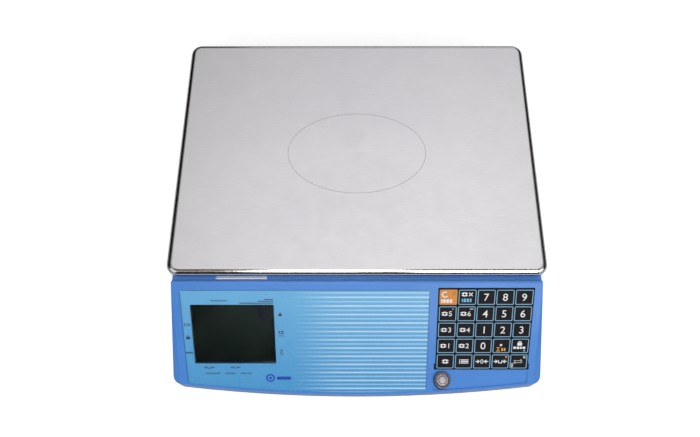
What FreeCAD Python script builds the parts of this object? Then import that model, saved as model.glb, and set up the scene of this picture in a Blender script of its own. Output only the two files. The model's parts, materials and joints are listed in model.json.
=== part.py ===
import FreeCAD, Part
import math
import os
import re

import Sketcher

Vector = FreeCAD.Vector

# Driving dimensions, in millimetres and degrees. The row frame has +X to the user's right,
# +Y away from the user and +Z up, with its origin under the middle of the casing.
SIZES = {
    # casing
    "casing_width": 354.4,
    "casing_depth": 347.5,
    "total_height": 108.0,
    "base_bottom": 10.0,
    "base_top": 22.0,
    "rim_height": 98.0,
    "deck_height": 94.0,
    "crest_height": 102.0,
    "crest_y": -81.3,
    "crest_width": 2.3,
    "panel_angle": 36.56,
    "side_draft": 7.25,
    "rear_draft": 4.1,
    "front_draft": 2.5,
    "front_bow": 1554.0,
    "front_corner": 8.0,
    "wall": 2.5,
    "floor_wall": 2.5,
    "lip_gap": 0.2,
    "lip_wall": 1.2,
    "lip_height": 3.0,
    "face_half_width": 165.6,
    "facet_tilt": 25.0,
    "ledge_depth": 11.0,
    "deck_margin": 4.9,
    "deck_corner": 6.0,
    "edge_round": 1.1,
    # panel pockets, measured across the panel and down the slope from the crest
    "overlay_left": -158.9,
    "overlay_right": 65.5,
    "overlay_top": 6.7,
    "pocket_bottom": 111.6,
    "pocket_depth": 0.6,
    "pocket_corner": 3.0,
    "overlay_sheet": 0.5,
    "overlay_gap": 0.15,
    "level_pocket_left": 71.4,
    "level_pocket_right": 159.8,
    "level_pocket_top": 88.3,
    "level_pocket_depth": 0.9,
    # front display
    "window_x": -112.75,
    "window_down": 50.9,
    "window_width": 75.6,
    "window_length": 59.8,
    "window_sheet": 1.6,
    "lcd_width": 86.0,
    "lcd_length": 70.0,
    "lcd_sheet": 2.4,
    "board_sheet": 1.6,
    "lcd_board_margin": 4.0,
    # keypad
    "keypad_x": 115.9,
    "keypad_down": 45.75,
    "keypad_width": 86.0,
    "keypad_length": 82.3,
    "keypad_foot_width": 88.2,
    "keypad_foot_length": 6.0,
    "keypad_sheet": 1.0,
    "keypad_proud": 0.4,
    "key_pitch_x": 17.0,
    "key_pitch_y": 16.2,
    "key_width": 15.9,
    "key_length": 14.7,
    "key_corner": 1.3,
    "key_proud": 0.7,
    "key_depth": 1.2,
    "key_gap": 0.2,
    "dome_radius": 3.0,
    "dome_height": 0.5,
    # bubble level
    "level_x": 79.6,
    "level_down": 98.7,
    "level_radius": 7.5,
    "level_top": 49.6,
    "level_height": 14.0,
    "level_gap": 0.2,
    # pan
    "pan_width": 341.4,
    "pan_depth": 244.6,
    "pan_y": 47.4,
    "pan_height": 7.5,
    "pan_sheet": 0.8,
    "pan_corner": 11.0,
    "pan_bend": 6.0,
    # load path
    "post_x": 115.0,
    "post_y": 80.0,
    "post_radius": 7.0,
    "pad_height": 4.0,
    "collar_bore": 12.0,
    "collar_wall": 2.5,
    "collar_height": 4.5,
    "bracket_height": 7.0,
    "cell_length": 130.0,
    "cell_width": 30.0,
    "cell_height": 22.0,
    "cell_end": 30.0,
    "cell_bore": 7.0,
    "cell_slot": 3.0,
    "cell_bolt_pitch": 15.0,
    "cell_thread": 14.0,
    "cell_bolt_grip": 10.0,
    "socket_radius": 2.4,
    "socket_depth": 2.0,
    "bolt_radius": 2.9,
    "bolt_bore": 3.1,
    "bolt_head_radius": 5.0,
    "bolt_head": 4.0,
    "frame_boss": 4.0,
    "frame_plate": 8.0,
    "frame_plate_width": 60.0,
    "post_flare": 4.0,
    "post_step": 6.0,
    "arm_width": 16.0,
    "stop_fraction": 0.55,
    "stop_gap": 0.6,
    "stop_post_radius": 5.0,
    "stop_screw_radius": 2.5,
    "stop_screw_length": 10.0,
    # feet
    "foot_x": 148.0,
    "foot_front_y": -135.0,
    "foot_rear_y": 146.0,
    "foot_pad_radius": 15.0,
    "foot_pad_height": 5.5,
    "foot_disc_radius": 11.0,
    "foot_disc_height": 3.0,
    "stud_radius": 3.9,
    "stud_bore": 4.0,
    "stud_length": 16.0,
    "stud_recess": 3.0,
    # casing screws
    "screw_radius": 1.7,
    "screw_bore": 2.0,
    "screw_pilot": 1.75,
    "screw_head_radius": 3.2,
    "screw_head": 2.4,
    "screw_length": 18.0,
    "screw_boss": 6.0,
    "screw_sink": 3.0,
    "drive_radius": 1.4,
    "foot_boss_wall": 5.0,
    # rear display
    "rear_window_x": 0.0,
    "rear_window_z": 63.0,
    "rear_window_width": 90.0,
    "rear_window_height": 42.0,
    # power
    "switch_y": 105.0,
    "switch_z": 56.0,
    "switch_width": 19.0,
    "switch_height": 13.0,
    "switch_depth": 14.0,
    "switch_rim": 1.5,
    "switch_flange": 1.0,
    "switch_wall": 1.2,
    "switch_well": 9.0,
    "rocker_margin": 2.5,
    "rocker_edge": 1.8,
    "rocker_belly": 4.5,
    "rocker_side_gap": 3.2,
    "pin_end_gap": 1.2,
    "pin_radius": 1.2,
    "pin_depth": 1.5,
    "inlet_x": -112.0,
    "inlet_z": 52.0,
    "inlet_width": 27.0,
    "inlet_height": 20.0,
    "inlet_depth": 20.0,
    "inlet_rim": 1.6,
    "inlet_mouth_width": 24.0,
    "inlet_mouth_height": 16.4,
    "inlet_mouth_depth": 15.5,
    "inlet_flange": 2.0,
    "inlet_cant": 4.5,
    "blade_spread": 7.0,
    "blade_drop": 2.0,
    "blade_half_width": 1.0,
    "blade_half_height": 2.0,
    "blade_short": 4.0,
    # battery
    "battery_x": 72.0,
    "battery_y": -106.0,
    "battery_width": 97.0,
    "battery_depth": 66.0,
    "battery_height": 33.0,
    "door_width": 96.0,
    "door_depth": 66.0,
    "door_sheet": 2.0,
    "door_gap": 0.3,
    "door_travel": 15.0,
    "door_opening_margin": 5.0,
    "rail_wall": 2.0,
    "rail_lip": 1.5,
    "rail_grip": 3.0,
    "grip_half_width": 14.0,
    "grip_setback": 6.0,
    "grip_length": 4.0,
    # circuit boards
    "standoff_height": 5.0,
    "standoff_radius": 3.0,
    "standoff_inset": 6.0,
    "board_left": -125.0,
    "board_right": 8.0,
    "board_front": -150.0,
    "board_rear": -84.0,
    "supply_left": -138.0,
    "supply_right": -68.0,
    "supply_front": 96.0,
    "supply_rear": 142.0,
}

KEY_NAMES = [
    ["key_clear", "key_memory_clear", "key_7", "key_8", "key_9"],
    ["key_memory_5", "key_memory_6", "key_4", "key_5", "key_6"],
    ["key_memory_3", "key_memory_4", "key_1", "key_2", "key_3"],
    ["key_memory_1", "key_memory_2", "key_0", "key_point", "key_fix_price"],
    ["key_memory", "key_item_code", "key_zero_set", "key_tare", "key_change"],
]

# main board components: distance from its left and front edges, width, depth and height
BOARD_PARTS = {
    "processor": (25, 20, 20, 20, 2),
    "memory_chip": (65, 24, 14, 14, 2),
    "keypad_plug": (95, 45, 16, 13, 9),
    "display_plug": (15, 50, 30, 10, 7),
    "cell_plug": (85, 2, 30, 10, 8),
}

SCREW_PLACES = [(-60, 158), (60, 158), (-160, 40), (160, 40), (-100, -157.5), (138, -156.5)]

doc = FreeCAD.newDocument("counter_scale")
sheet = doc.addObject("Spreadsheet::Sheet", "Sizes")
for row, (alias, number) in enumerate(SIZES.items(), start=1):
    sheet.set(f"A{row}", alias)
    sheet.set(f"B{row}", str(number))
    sheet.setAlias(f"B{row}", alias)
doc.recompute()

nodes = {}


# ---------------------------------------------------------------- helpers
def full(text):
    """Put the sheet's name before each alias in an expression."""
    return re.sub(r"[a-z_]+", lambda word: f"Sizes.{word[0]}" if word[0] in SIZES else word[0], text)


def value(text):
    """The number that an expression has now."""
    return float(doc.Objects[0].evalExpression(full(text)))


def bind(obj, **expressions):
    """Tie properties to expressions; a double underscore stands for a dot in a property path."""
    for name, text in expressions.items():
        obj.setExpression(name.replace("__", "."), full(text))


def node(label, obj):
    """Name a finished piece."""
    obj.Label = label
    nodes[label] = obj
    return obj


def place(obj, x="0", y="0", z="0", right=(1, 0, 0), up=(0, 1, 0), out=(0, 0, 1)):
    """Put a piece's own origin at x, y, z with its X, Y and Z axes along right, up and out."""
    turn = FreeCAD.Rotation(Vector(*right), Vector(*up), Vector(*out), "ZXY")
    obj.Placement = FreeCAD.Placement(Vector(), turn)
    bind(obj, Placement__Base__x=x, Placement__Base__y=y, Placement__Base__z=z)


def place_on_panel(obj, across="0", down="0", proud="0"):
    """Lay a piece on the panel: own X across it, own Y up the slope, own Z out of it."""
    obj.Placement = FreeCAD.Placement(Vector(), FreeCAD.Rotation(Vector(1, 0, 0), 1))
    bind(
        obj,
        Placement__Rotation__Angle="panel_angle",
        Placement__Base__x=across,
        Placement__Base__y=f"crest_y - ({down}) * cos(panel_angle) - ({proud}) * sin(panel_angle)",
        Placement__Base__z=f"crest_height - ({down}) * sin(panel_angle) + ({proud}) * cos(panel_angle)",
    )


def place_on_rear(obj, x, z, proud="0"):
    """Stand a piece on the rear wall: own Y up the wall, own Z out of it."""
    draft = math.radians(value("rear_draft"))
    wall_y = f"casing_depth / 2 - (({z}) - base_bottom) * tan(rear_draft)"
    place(
        obj,
        x=x,
        y=f"{wall_y} + ({proud}) * cos(rear_draft)",
        z=f"({z}) + ({proud}) * sin(rear_draft)",
        right=(-1, 0, 0),
        up=(0, -math.sin(draft), math.cos(draft)),
        out=(0, math.cos(draft), math.sin(draft)),
    )


def place_on_right(obj, y, z, proud="0"):
    """Stand a piece on the right-hand wall: own X to the rear, own Y up, own Z out of it."""
    draft = math.radians(value("side_draft"))
    wall_x = f"casing_width / 2 - (({z}) - base_bottom) * tan(side_draft)"
    place(
        obj,
        x=f"{wall_x} + ({proud}) * cos(side_draft)",
        y=y,
        z=f"({z}) + ({proud}) * sin(side_draft)",
        right=(0, 1, 0),
        up=(-math.sin(draft), 0, math.cos(draft)),
        out=(math.cos(draft), 0, math.sin(draft)),
    )


def block(name, x, y, z):
    """A box from its low and high expressions along each axis."""
    box = doc.addObject("Part::Box", name)
    bind(box, Length=f"({x[1]}) - ({x[0]})", Width=f"({y[1]}) - ({y[0]})", Height=f"({z[1]}) - ({z[0]})")
    bind(box, Placement__Base__x=x[0], Placement__Base__y=y[0], Placement__Base__z=z[0])
    return box


def rod(name, radius, x, y, z):
    """An upright cylinder from z[0] to z[1]."""
    cylinder = doc.addObject("Part::Cylinder", name)
    bind(cylinder, Radius=radius, Height=f"({z[1]}) - ({z[0]})")
    bind(cylinder, Placement__Base__x=x, Placement__Base__y=y, Placement__Base__z=z[0])
    return cylinder


def fuse(name, shapes):
    result = doc.addObject("Part::MultiFuse", name)
    result.Shapes = shapes
    return result


def common(name, shapes):
    result = doc.addObject("Part::MultiCommon", name)
    result.Shapes = shapes
    return result


def cut(name, base, tools):
    result = doc.addObject("Part::Cut", name)
    result.Base = base
    result.Tool = tools[0] if len(tools) == 1 else fuse(name + "_tools", tools)
    return result


def compound(name, shapes):
    result = doc.addObject("Part::Compound", name)
    result.Links = shapes
    return result


def new_body(name):
    return doc.addObject("PartDesign::Body", name)


def sketch_in(body, name, role="XY_Plane", height="0"):
    """A sketch on one of the body's own planes, lifted by height."""
    sketch = body.newObject("Sketcher::SketchObject", name)
    plane = next(item for item in body.Origin.OriginFeatures if item.Role == role)
    sketch.AttachmentSupport = [(plane, "")]
    sketch.MapMode = "FlatFace"
    bind(sketch, AttachmentOffset__Base__z=height)
    return sketch


def dimension(sketch, kind, references, text):
    """A driving dimension tied to an expression."""
    number = sketch.addConstraint(Sketcher.Constraint(kind, *references, value(text)))
    sketch.setExpression(f"Constraints[{number}]", full(text))


def rounded_rectangle(sketch, left, right, bottom, top, radius):
    """Four lines and four tangent arcs, each side and the radius tied to an expression."""
    x0, x1, y0, y1 = value(left), value(right), value(bottom), value(top)
    r = value(radius)
    corners = [(x1 - r, y0 + r, 270), (x1 - r, y1 - r, 0), (x0 + r, y1 - r, 90), (x0 + r, y0 + r, 180)]
    ends = [
        ((x0 + r, y0), (x1 - r, y0)),
        ((x1, y0 + r), (x1, y1 - r)),
        ((x1 - r, y1), (x0 + r, y1)),
        ((x0, y1 - r), (x0, y0 + r)),
    ]
    lines = []
    arcs = []
    for start, stop in ends:
        lines.append(sketch.addGeometry(Part.LineSegment(Vector(*start, 0), Vector(*stop, 0))))
    for x, y, angle in corners:
        circle = Part.Circle(Vector(x, y, 0), Vector(0, 0, 1), r)
        first = math.radians(angle)
        arcs.append(sketch.addGeometry(Part.ArcOfCircle(circle, first, first + math.pi / 2)))
    for i in range(4):
        sketch.addConstraint(Sketcher.Constraint("Tangent", lines[i], 2, arcs[i], 1))
        sketch.addConstraint(Sketcher.Constraint("Tangent", arcs[i], 2, lines[(i + 1) % 4], 1))
        sketch.addConstraint(Sketcher.Constraint("Vertical" if i % 2 else "Horizontal", lines[i]))
        if i:
            sketch.addConstraint(Sketcher.Constraint("Equal", arcs[0], arcs[i]))
    dimension(sketch, "Radius", (arcs[0],), radius)
    dimension(sketch, "DistanceY", (-1, 1, lines[0], 1), bottom)
    dimension(sketch, "DistanceX", (-1, 1, lines[1], 1), right)
    dimension(sketch, "DistanceY", (-1, 1, lines[2], 1), top)
    dimension(sketch, "DistanceX", (-1, 1, lines[3], 1), left)


def polygon(sketch, points):
    """A closed run of straight lines through points given as pairs of expressions."""
    numbers = [(value(x), value(y)) for x, y in points]
    count = len(points)
    first = None
    for i in range(count):
        line = Part.LineSegment(Vector(*numbers[i], 0), Vector(*numbers[(i + 1) % count], 0))
        index = sketch.addGeometry(line)
        first = index if first is None else first
    for i in range(count):
        sketch.addConstraint(Sketcher.Constraint("Coincident", first + i, 2, first + (i + 1) % count, 1))
    for i, (x, y) in enumerate(points):
        dimension(sketch, "DistanceX", (-1, 1, first + i, 1), x)
        dimension(sketch, "DistanceY", (-1, 1, first + i, 1), y)


def circle(sketch, x, y, radius):
    index = sketch.addGeometry(Part.Circle(Vector(value(x), value(y), 0), Vector(0, 0, 1), value(radius)))
    dimension(sketch, "Radius", (index,), radius)
    dimension(sketch, "DistanceX", (-1, 1, index, 3), x)
    dimension(sketch, "DistanceY", (-1, 1, index, 3), y)


def pad(body, sketch, length, downward=False):
    feature = body.newObject("PartDesign::Pad", body.Name + "_pad")
    feature.Profile = sketch
    feature.Reversed = downward
    bind(feature, Length=length)
    return feature


def pocket(body, sketch, length, upward=False):
    feature = body.newObject("PartDesign::Pocket", body.Name + "_pocket")
    feature.Profile = sketch
    feature.Reversed = upward
    bind(feature, Length=length)
    return feature


def slab(name, left, right, bottom, top, thickness, radius, downward=False):
    """A rounded plate lying on its own XY plane."""
    body = new_body(name)
    sketch = sketch_in(body, name + "_outline")
    rounded_rectangle(sketch, left, right, bottom, top, radius)
    pad(body, sketch, thickness, downward)
    return body


def centred_slab(name, width, length, thickness, radius, downward=False):
    half_x, half_y = f"({width}) / 2", f"({length}) / 2"
    return slab(name, f"-{half_x}", half_x, f"-{half_y}", half_y, thickness, radius, downward)


def edge_names(shape, wanted):
    """The names of the edges that the test picks."""
    return [f"Edge{i}" for i, edge in enumerate(shape.Edges, start=1) if wanted(edge)]


def round_body_edges(body, radius, wanted):
    """Fillet the edges of the body's last feature that the test picks."""
    doc.recompute()
    base = body.Tip
    fillet = body.newObject("PartDesign::Fillet", body.Name + "_round")
    fillet.Base = (base, edge_names(base.Shape, wanted))
    bind(fillet, Radius=radius)
    return fillet


def round_edges(name, base, radius, wanted):
    """Fillet the edges of a Part object that the test picks."""
    doc.recompute()
    fillet = doc.addObject("Part::Fillet", name)
    fillet.Base = base
    size = value(radius)
    picked = [i for i, edge in enumerate(base.Shape.Edges, start=1) if wanted(edge)]
    fillet.Edges = [(i, size, size) for i in picked]
    return fillet


def along(edge, axis):
    """True for a straight edge along one axis."""
    box = edge.BoundBox
    lengths = [box.XLength, box.YLength, box.ZLength]
    others = [length for i, length in enumerate(lengths) if i != axis]
    return max(others) < 1e-4 and lengths[axis] > 1e-3


# ---------------------------------------------------------------- casing
def plan_sketch(name, height, inset):
    """The casing's plan at a height: straight sides and rear, and a bowed front."""
    rise = f"({height} - base_bottom)"
    half = f"(casing_width / 2 - {rise} * tan(side_draft) - {inset})"
    front = f"(-casing_depth / 2 + {rise} * tan(front_draft) + {inset})"
    rear = f"(casing_depth / 2 - {rise} * tan(rear_draft) - {inset})"
    corner = f"({front} + front_bow - sqrt(front_bow * front_bow - {half} * {half}))"
    sketch = doc.addObject("Sketcher::SketchObject", name)
    bind(sketch, Placement__Base__z=height)
    x, y_rear, y_corner = value(half), value(rear), value(corner)
    bow = value("front_bow")
    places = [(-x, y_corner), (-x, y_rear), (x, y_rear), (x, y_corner)]
    for start, stop in zip(places, places[1:]):
        sketch.addGeometry(Part.LineSegment(Vector(*start, 0), Vector(*stop, 0)))
    swing = math.asin(x / bow)
    arc_circle = Part.Circle(Vector(0, value(front) + bow, 0), Vector(0, 0, 1), bow)
    low = 1.5 * math.pi
    arc = sketch.addGeometry(Part.ArcOfCircle(arc_circle, low - swing, low + swing))
    for joint in [(0, 2, 1, 1), (1, 2, 2, 1), (2, 2, arc, 2), (arc, 1, 0, 1)]:
        sketch.addConstraint(Sketcher.Constraint("Coincident", *joint))
    sketch.addConstraint(Sketcher.Constraint("Vertical", 0))
    sketch.addConstraint(Sketcher.Constraint("Horizontal", 1))
    sketch.addConstraint(Sketcher.Constraint("Vertical", 2))
    sketch.addConstraint(Sketcher.Constraint("PointOnObject", arc, 3, -2))
    dimension(sketch, "DistanceX", (-1, 1, 0, 1), f"-{half}")
    dimension(sketch, "DistanceX", (-1, 1, 2, 1), half)
    dimension(sketch, "DistanceY", (-1, 1, 1, 1), rear)
    dimension(sketch, "Radius", (arc,), "front_bow")
    dimension(sketch, "DistanceY", (-1, 1, arc, 3), f"{front} + front_bow")
    return sketch


def drafted_block(name, inset, corner):
    """The casing's drafted outer form, or the same form a wall's thickness inside it."""
    loft = doc.addObject("Part::Loft", name + "_loft")
    low = plan_sketch(name + "_plan_low", "base_bottom", inset)
    high = plan_sketch(name + "_plan_high", "(crest_height + 4)", inset)
    loft.Sections = [low, high]
    loft.Solid = True
    loft.Ruled = True
    upright = lambda edge: edge.BoundBox.ZLength > 50 and edge.BoundBox.XLength < 30
    return round_edges(name, loft, corner, upright)


def side_profile(name, low, inset, crest_radius):
    """The casing's side view, extruded across its whole width."""
    drop = f"({inset} / cos(panel_angle))"
    toe = f"(crest_y - (crest_height - {drop} - {low}) / tan(panel_angle))"
    ridge_back = f"(crest_y + crest_width - {inset})"
    sketch = doc.addObject("Sketcher::SketchObject", name + "_sketch")
    turn = FreeCAD.Rotation(Vector(0, 1, 0), Vector(0, 0, 1), Vector(1, 0, 0), "ZXY")
    sketch.Placement = FreeCAD.Placement(Vector(), turn)
    back = "(casing_depth / 2 + 10)"
    if inset == "0":
        points = [(toe, low), ("crest_y", "crest_height"), (ridge_back, "crest_height")]
        points += [(ridge_back, "rim_height"), (back, "rim_height"), (back, low)]
    else:
        ridge_inside = f"(crest_height - {drop} + (crest_width - {inset}) * tan(panel_angle))"
        ledge_back = f"(crest_y + crest_width + ledge_depth - {inset})"
        points = [(toe, low), (ridge_back, ridge_inside), (ridge_back, f"(rim_height - {inset})")]
        points += [(ledge_back, f"(rim_height - {inset})"), (ledge_back, f"(deck_height - {inset})")]
        points += [(back, f"(deck_height - {inset})"), (back, low)]
    polygon(sketch, points)
    extrusion = doc.addObject("Part::Extrusion", name + "_extrusion")
    extrusion.Base = sketch
    extrusion.DirMode = "Custom"
    extrusion.Dir = Vector(1, 0, 0)
    extrusion.Symmetric = True
    extrusion.Solid = True
    bind(extrusion, LengthFwd="casing_width + 20")
    if crest_radius is None:
        return extrusion
    top = value("crest_height")
    crest = lambda edge: along(edge, 0) and abs(edge.BoundBox.ZMin - top) < 1e-3
    return round_edges(name, extrusion, crest_radius, crest)


def panel_outline(sketch, left, right, top, bottom):
    """A pocket outline on the panel: straight sides and top, and a bottom that follows the bow."""
    radius = "(front_bow * cos(panel_angle))"
    centre_y = f"(-({bottom}) + {radius})"
    r, centre, x0, x1 = value(radius), value(centre_y), value(left), value(right)
    y_top = -value(top)
    y0, y1 = (centre - math.sqrt(r * r - x * x) for x in (x0, x1))
    places = [(x0, y0), (x0, y_top), (x1, y_top), (x1, y1)]
    for start, stop in zip(places, places[1:]):
        sketch.addGeometry(Part.LineSegment(Vector(*start, 0), Vector(*stop, 0)))
    circle_below = Part.Circle(Vector(0, centre, 0), Vector(0, 0, 1), r)
    angles = [math.atan2(y - centre, x) + 2 * math.pi for x, y in ((x0, y0), (x1, y1))]
    arc = sketch.addGeometry(Part.ArcOfCircle(circle_below, min(angles), max(angles)))
    for joint in [(0, 2, 1, 1), (1, 2, 2, 1), (2, 2, arc, 2), (arc, 1, 0, 1)]:
        sketch.addConstraint(Sketcher.Constraint("Coincident", *joint))
    for kind, line in (("Vertical", 0), ("Horizontal", 1), ("Vertical", 2)):
        sketch.addConstraint(Sketcher.Constraint(kind, line))
    sketch.addConstraint(Sketcher.Constraint("PointOnObject", arc, 3, -2))
    dimension(sketch, "DistanceX", (-1, 1, 0, 1), left)
    dimension(sketch, "DistanceX", (-1, 1, 2, 1), right)
    dimension(sketch, "DistanceY", (-1, 1, 1, 1), f"-({top})")
    dimension(sketch, "Radius", (arc,), radius)
    dimension(sketch, "DistanceY", (-1, 1, arc, 3), centre_y)


def panel_plate(name, left, right, top, bottom, thickness, corner):
    """A plate with a panel outline, as a body whose top lies on its own XY plane."""
    body = new_body(name)
    sketch = sketch_in(body, name + "_outline")
    panel_outline(sketch, left, right, top, bottom)
    pad(body, sketch, thickness)
    round_body_edges(body, corner, lambda edge: along(edge, 2))
    return body


outer_block = drafted_block("outer_block", "0", "front_corner")
inner_block = drafted_block("inner_block", "wall", "front_corner - wall")
lip_outer_block = drafted_block("lip_outer_block", "(wall + lip_gap)", "front_corner - wall")
lip_inner_block = drafted_block("lip_inner_block", "(wall + lip_gap + lip_wall)", "1")
outer_profile = side_profile("outer_profile", "base_top", "0", "0.9")
inner_profile = side_profile("inner_profile", "(base_top - 5)", "wall", None)


def facet_cutter(side):
    """A wedge that turns the panel's side edge into a narrow facet, widening to the front."""
    cutter = doc.addObject("Part::Box", f"facet_cutter_{'right' if side > 0 else 'left'}")
    cutter.Length = 30
    cutter.Width = 150
    cutter.Height = 20
    panel = FreeCAD.Rotation(Vector(1, 0, 0), value("panel_angle"))
    tilt = FreeCAD.Rotation(Vector(0, 1, 0), value("facet_tilt") if side > 0 else -90 - value("facet_tilt"))
    cutter.Placement.Rotation = panel.multiply(tilt)
    down = value("casing_depth") / 2 - 30
    angle = math.radians(value("panel_angle"))
    cutter.Placement.Base = Vector(
        side * value("face_half_width"),
        value("crest_y") - down * math.cos(angle),
        value("crest_height") - down * math.sin(angle),
    )
    return cutter


def is_brow(edge):
    """True for the long bowed edge between the panel's foot and the front wall."""
    box = edge.BoundBox
    return box.XLength > 250 and box.YMax < -150 and 28 < box.ZMin < 40


def top_cover():
    """Upper casing: sloping panel, crest, ledge, sunk deck with four collared holes, and drafted walls."""
    outside = common("cover_outside", [outer_block, outer_profile])
    faceted = cut("cover_faceted", outside, [facet_cutter(1), facet_cutter(-1)])
    rounded = round_edges("cover_rounded", faceted, "edge_round", is_brow)
    inside = common("cover_inside", [inner_block, inner_profile])
    hollow = cut("cover_hollow", rounded, [inside])

    half = f"(casing_width / 2 - (rim_height - base_bottom) * tan(side_draft) - deck_margin)"
    rear = f"(casing_depth / 2 - (rim_height - base_bottom) * tan(rear_draft) - deck_margin)"
    front = "crest_y + crest_width + ledge_depth"
    sink = slab("deck_sink", f"-{half}", half, front, rear, "20", "deck_corner")
    place(sink, z="deck_height")

    overlay_sink = panel_plate(
        "overlay_sink", "overlay_left", "overlay_right", "overlay_top", "pocket_bottom", "5", "pocket_corner"
    )
    place_on_panel(overlay_sink, proud="-pocket_depth")
    level_sink = panel_plate(
        "level_sink", "level_pocket_left", "level_pocket_right", "level_pocket_top", "pocket_bottom",
        "5", "pocket_corner",
    )
    place_on_panel(level_sink, proud="-level_pocket_depth")
    keypad_sink = keypad_plate("keypad_sink", "overlay_gap", "5")
    place_on_panel(keypad_sink, "keypad_x", "keypad_down", "keypad_proud - keypad_sheet")
    key_well = centred_slab("key_well", "5 * key_pitch_x - 0.6", "5 * key_pitch_y - 0.6", "30", "1")
    place_on_panel(key_well, "keypad_x", "keypad_down", "-15")
    window_hole = centred_slab("window_hole", "window_width", "window_length", "30", "1")
    place_on_panel(window_hole, "window_x", "window_down", "-15")
    level_y = "(crest_y - level_down * cos(panel_angle))"
    level_hole = rod("level_hole", "level_radius + level_gap", "level_x", level_y, ("20", "70"))

    rear_hole = centred_slab("rear_hole", "rear_window_width", "rear_window_height", "20", "2")
    place_on_rear(rear_hole, "rear_window_x", "rear_window_z", "-10")
    inlet_hole = centred_slab("inlet_hole", "inlet_width", "inlet_height", "20", "1")
    place_on_rear(inlet_hole, "inlet_x", "inlet_z", "-10")
    switch_hole = centred_slab("switch_hole", "switch_width", "switch_height", "20", "1")
    place_on_right(switch_hole, "switch_y", "switch_z", "-10")

    bored = cut(
        "cover_bored", hollow,
        [sink, overlay_sink, level_sink, keypad_sink, key_well, window_hole, level_hole]
        + [rear_hole, inlet_hole, switch_hole],
    )

    collars = []
    bores = []
    for i, (side, end) in enumerate(((-1, -1), (1, -1), (-1, 1), (1, 1))):
        x, y = f"{side} * post_x", f"pan_y + {end} * post_y"
        reach = ("deck_height - wall", "deck_height + collar_height")
        collars.append(rod(f"collar_{i}", "collar_bore + collar_wall", x, y, reach))
        bores.append(rod(f"collar_bore_{i}", "collar_bore", x, y, ("deck_height - 10", "deck_height + 10")))
    bosses = []
    pilots = []
    for i, (x, y) in enumerate(SCREW_PLACES):
        boss_reach = ("base_bottom + screw_boss", "rim_height")
        pilot_reach = ("base_bottom", "base_bottom + 2 + screw_length")
        bosses.append(rod(f"boss_{i}", "screw_boss", str(x), str(y), boss_reach))
        pilots.append(rod(f"pilot_{i}", "screw_pilot", str(x), str(y), pilot_reach))
    boss_room = common("cover_boss_room", [outer_block, outer_profile_low()])
    trimmed = common("cover_bosses", [fuse("cover_boss_rods", bosses), boss_room])
    joined = fuse("cover_joined", [bored, trimmed] + collars)
    return node("top_cover", cut("top_cover", joined, bores + pilots))


def outer_profile_low():
    """The side view kept just under the outer skin, which trims the screw bosses."""
    return side_profile("boss_profile", "(base_bottom + 1)", "(wall / 2)", None)


def base_cover():
    """Lower casing: a tray with a lip inside the upper casing, foot bosses and the battery opening."""
    reach = ("-casing_width", "casing_width")
    skirt_slice = block("base_slice", reach, reach, ("base_bottom", "base_top"))
    lip_slice = block("lip_slice", reach, reach, ("base_bottom", "base_top + lip_height"))
    room_slice = block("room_slice", reach, reach, ("base_bottom + floor_wall", "rim_height"))
    skirt = common("base_skirt", [outer_block, skirt_slice])
    lip = common("base_lip", [lip_outer_block, lip_slice])
    room = common("base_room", [lip_inner_block, room_slice])
    tray = cut("base_tray", fuse("base_solid", [skirt, lip]), [room])

    added = []
    removed = []
    for i, (side, y) in enumerate(foot_places()):
        x = f"{side} * foot_x"
        boss_reach = ("base_bottom", "base_bottom + stud_length")
        added.append(rod(f"foot_boss_{i}", "stud_bore + foot_boss_wall", x, y, boss_reach))
        removed.append(rod(f"foot_bore_{i}", "stud_bore", x, y, ("0", "base_bottom + stud_length + 5")))
    for i, place_xy in enumerate(SCREW_PLACES):
        x, y = (str(number) for number in place_xy)
        seat_reach = ("base_bottom", "base_bottom + screw_boss - 0.3")
        added.append(rod(f"screw_seat_{i}", "screw_boss", x, y, seat_reach))
        removed.append(rod(f"screw_way_{i}", "screw_bore", x, y, ("0", "base_bottom + 10")))
        sink_reach = ("0", "base_bottom + screw_sink")
        removed.append(rod(f"screw_sink_{i}", "screw_head_radius + 0.3", x, y, sink_reach))
    for i, x in enumerate(cell_bolt_places(-1)):
        removed.append(rod(f"cell_way_{i}", "bolt_bore", x, "pan_y", ("0", "base_bottom + 5")))

    x0, x1 = "battery_x - door_width / 2", "battery_x + door_width / 2"
    y0, y1 = "battery_y - door_depth / 2", "battery_y + door_depth / 2"
    margin = "door_opening_margin"
    opening_x = (f"{x0} + {margin}", f"{x1} - {margin}")
    opening_y = (f"{y0} + {margin}", f"{y1} - {margin}")
    removed.append(block("battery_opening", opening_x, opening_y, ("0", "base_bottom + 5")))
    length = (y0, f"{y1} + door_travel")
    under = "base_bottom - door_sheet - 2 * door_gap"
    left, right = f"{x0} - door_gap - rail_wall", f"{x1} + door_gap + rail_wall"
    lip_reach = (f"{under} - rail_lip", under)
    added.append(block("rail_wall_left", (left, f"{x0} - door_gap"), length, (under, "base_bottom")))
    added.append(block("rail_wall_right", (f"{x1} + door_gap", right), length, (under, "base_bottom")))
    added.append(block("rail_lip_left", (left, f"{x0} + rail_grip"), length, lip_reach))
    added.append(block("rail_lip_right", (f"{x1} - rail_grip", right), length, lip_reach))
    joined = fuse("base_joined", [tray] + added)
    return node("base_cover", cut("base_cover", joined, removed))


def foot_places():
    return [(-1, "foot_front_y"), (1, "foot_front_y"), (-1, "foot_rear_y"), (1, "foot_rear_y")]


def cell_bolt_places(side):
    """The two bolts at one end of the load cell, side -1 or 1."""
    middle = f"{side} * (cell_length - cell_end) / 2"
    return [f"{middle} - cell_bolt_pitch / 2", f"{middle} + cell_bolt_pitch / 2"]


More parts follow.
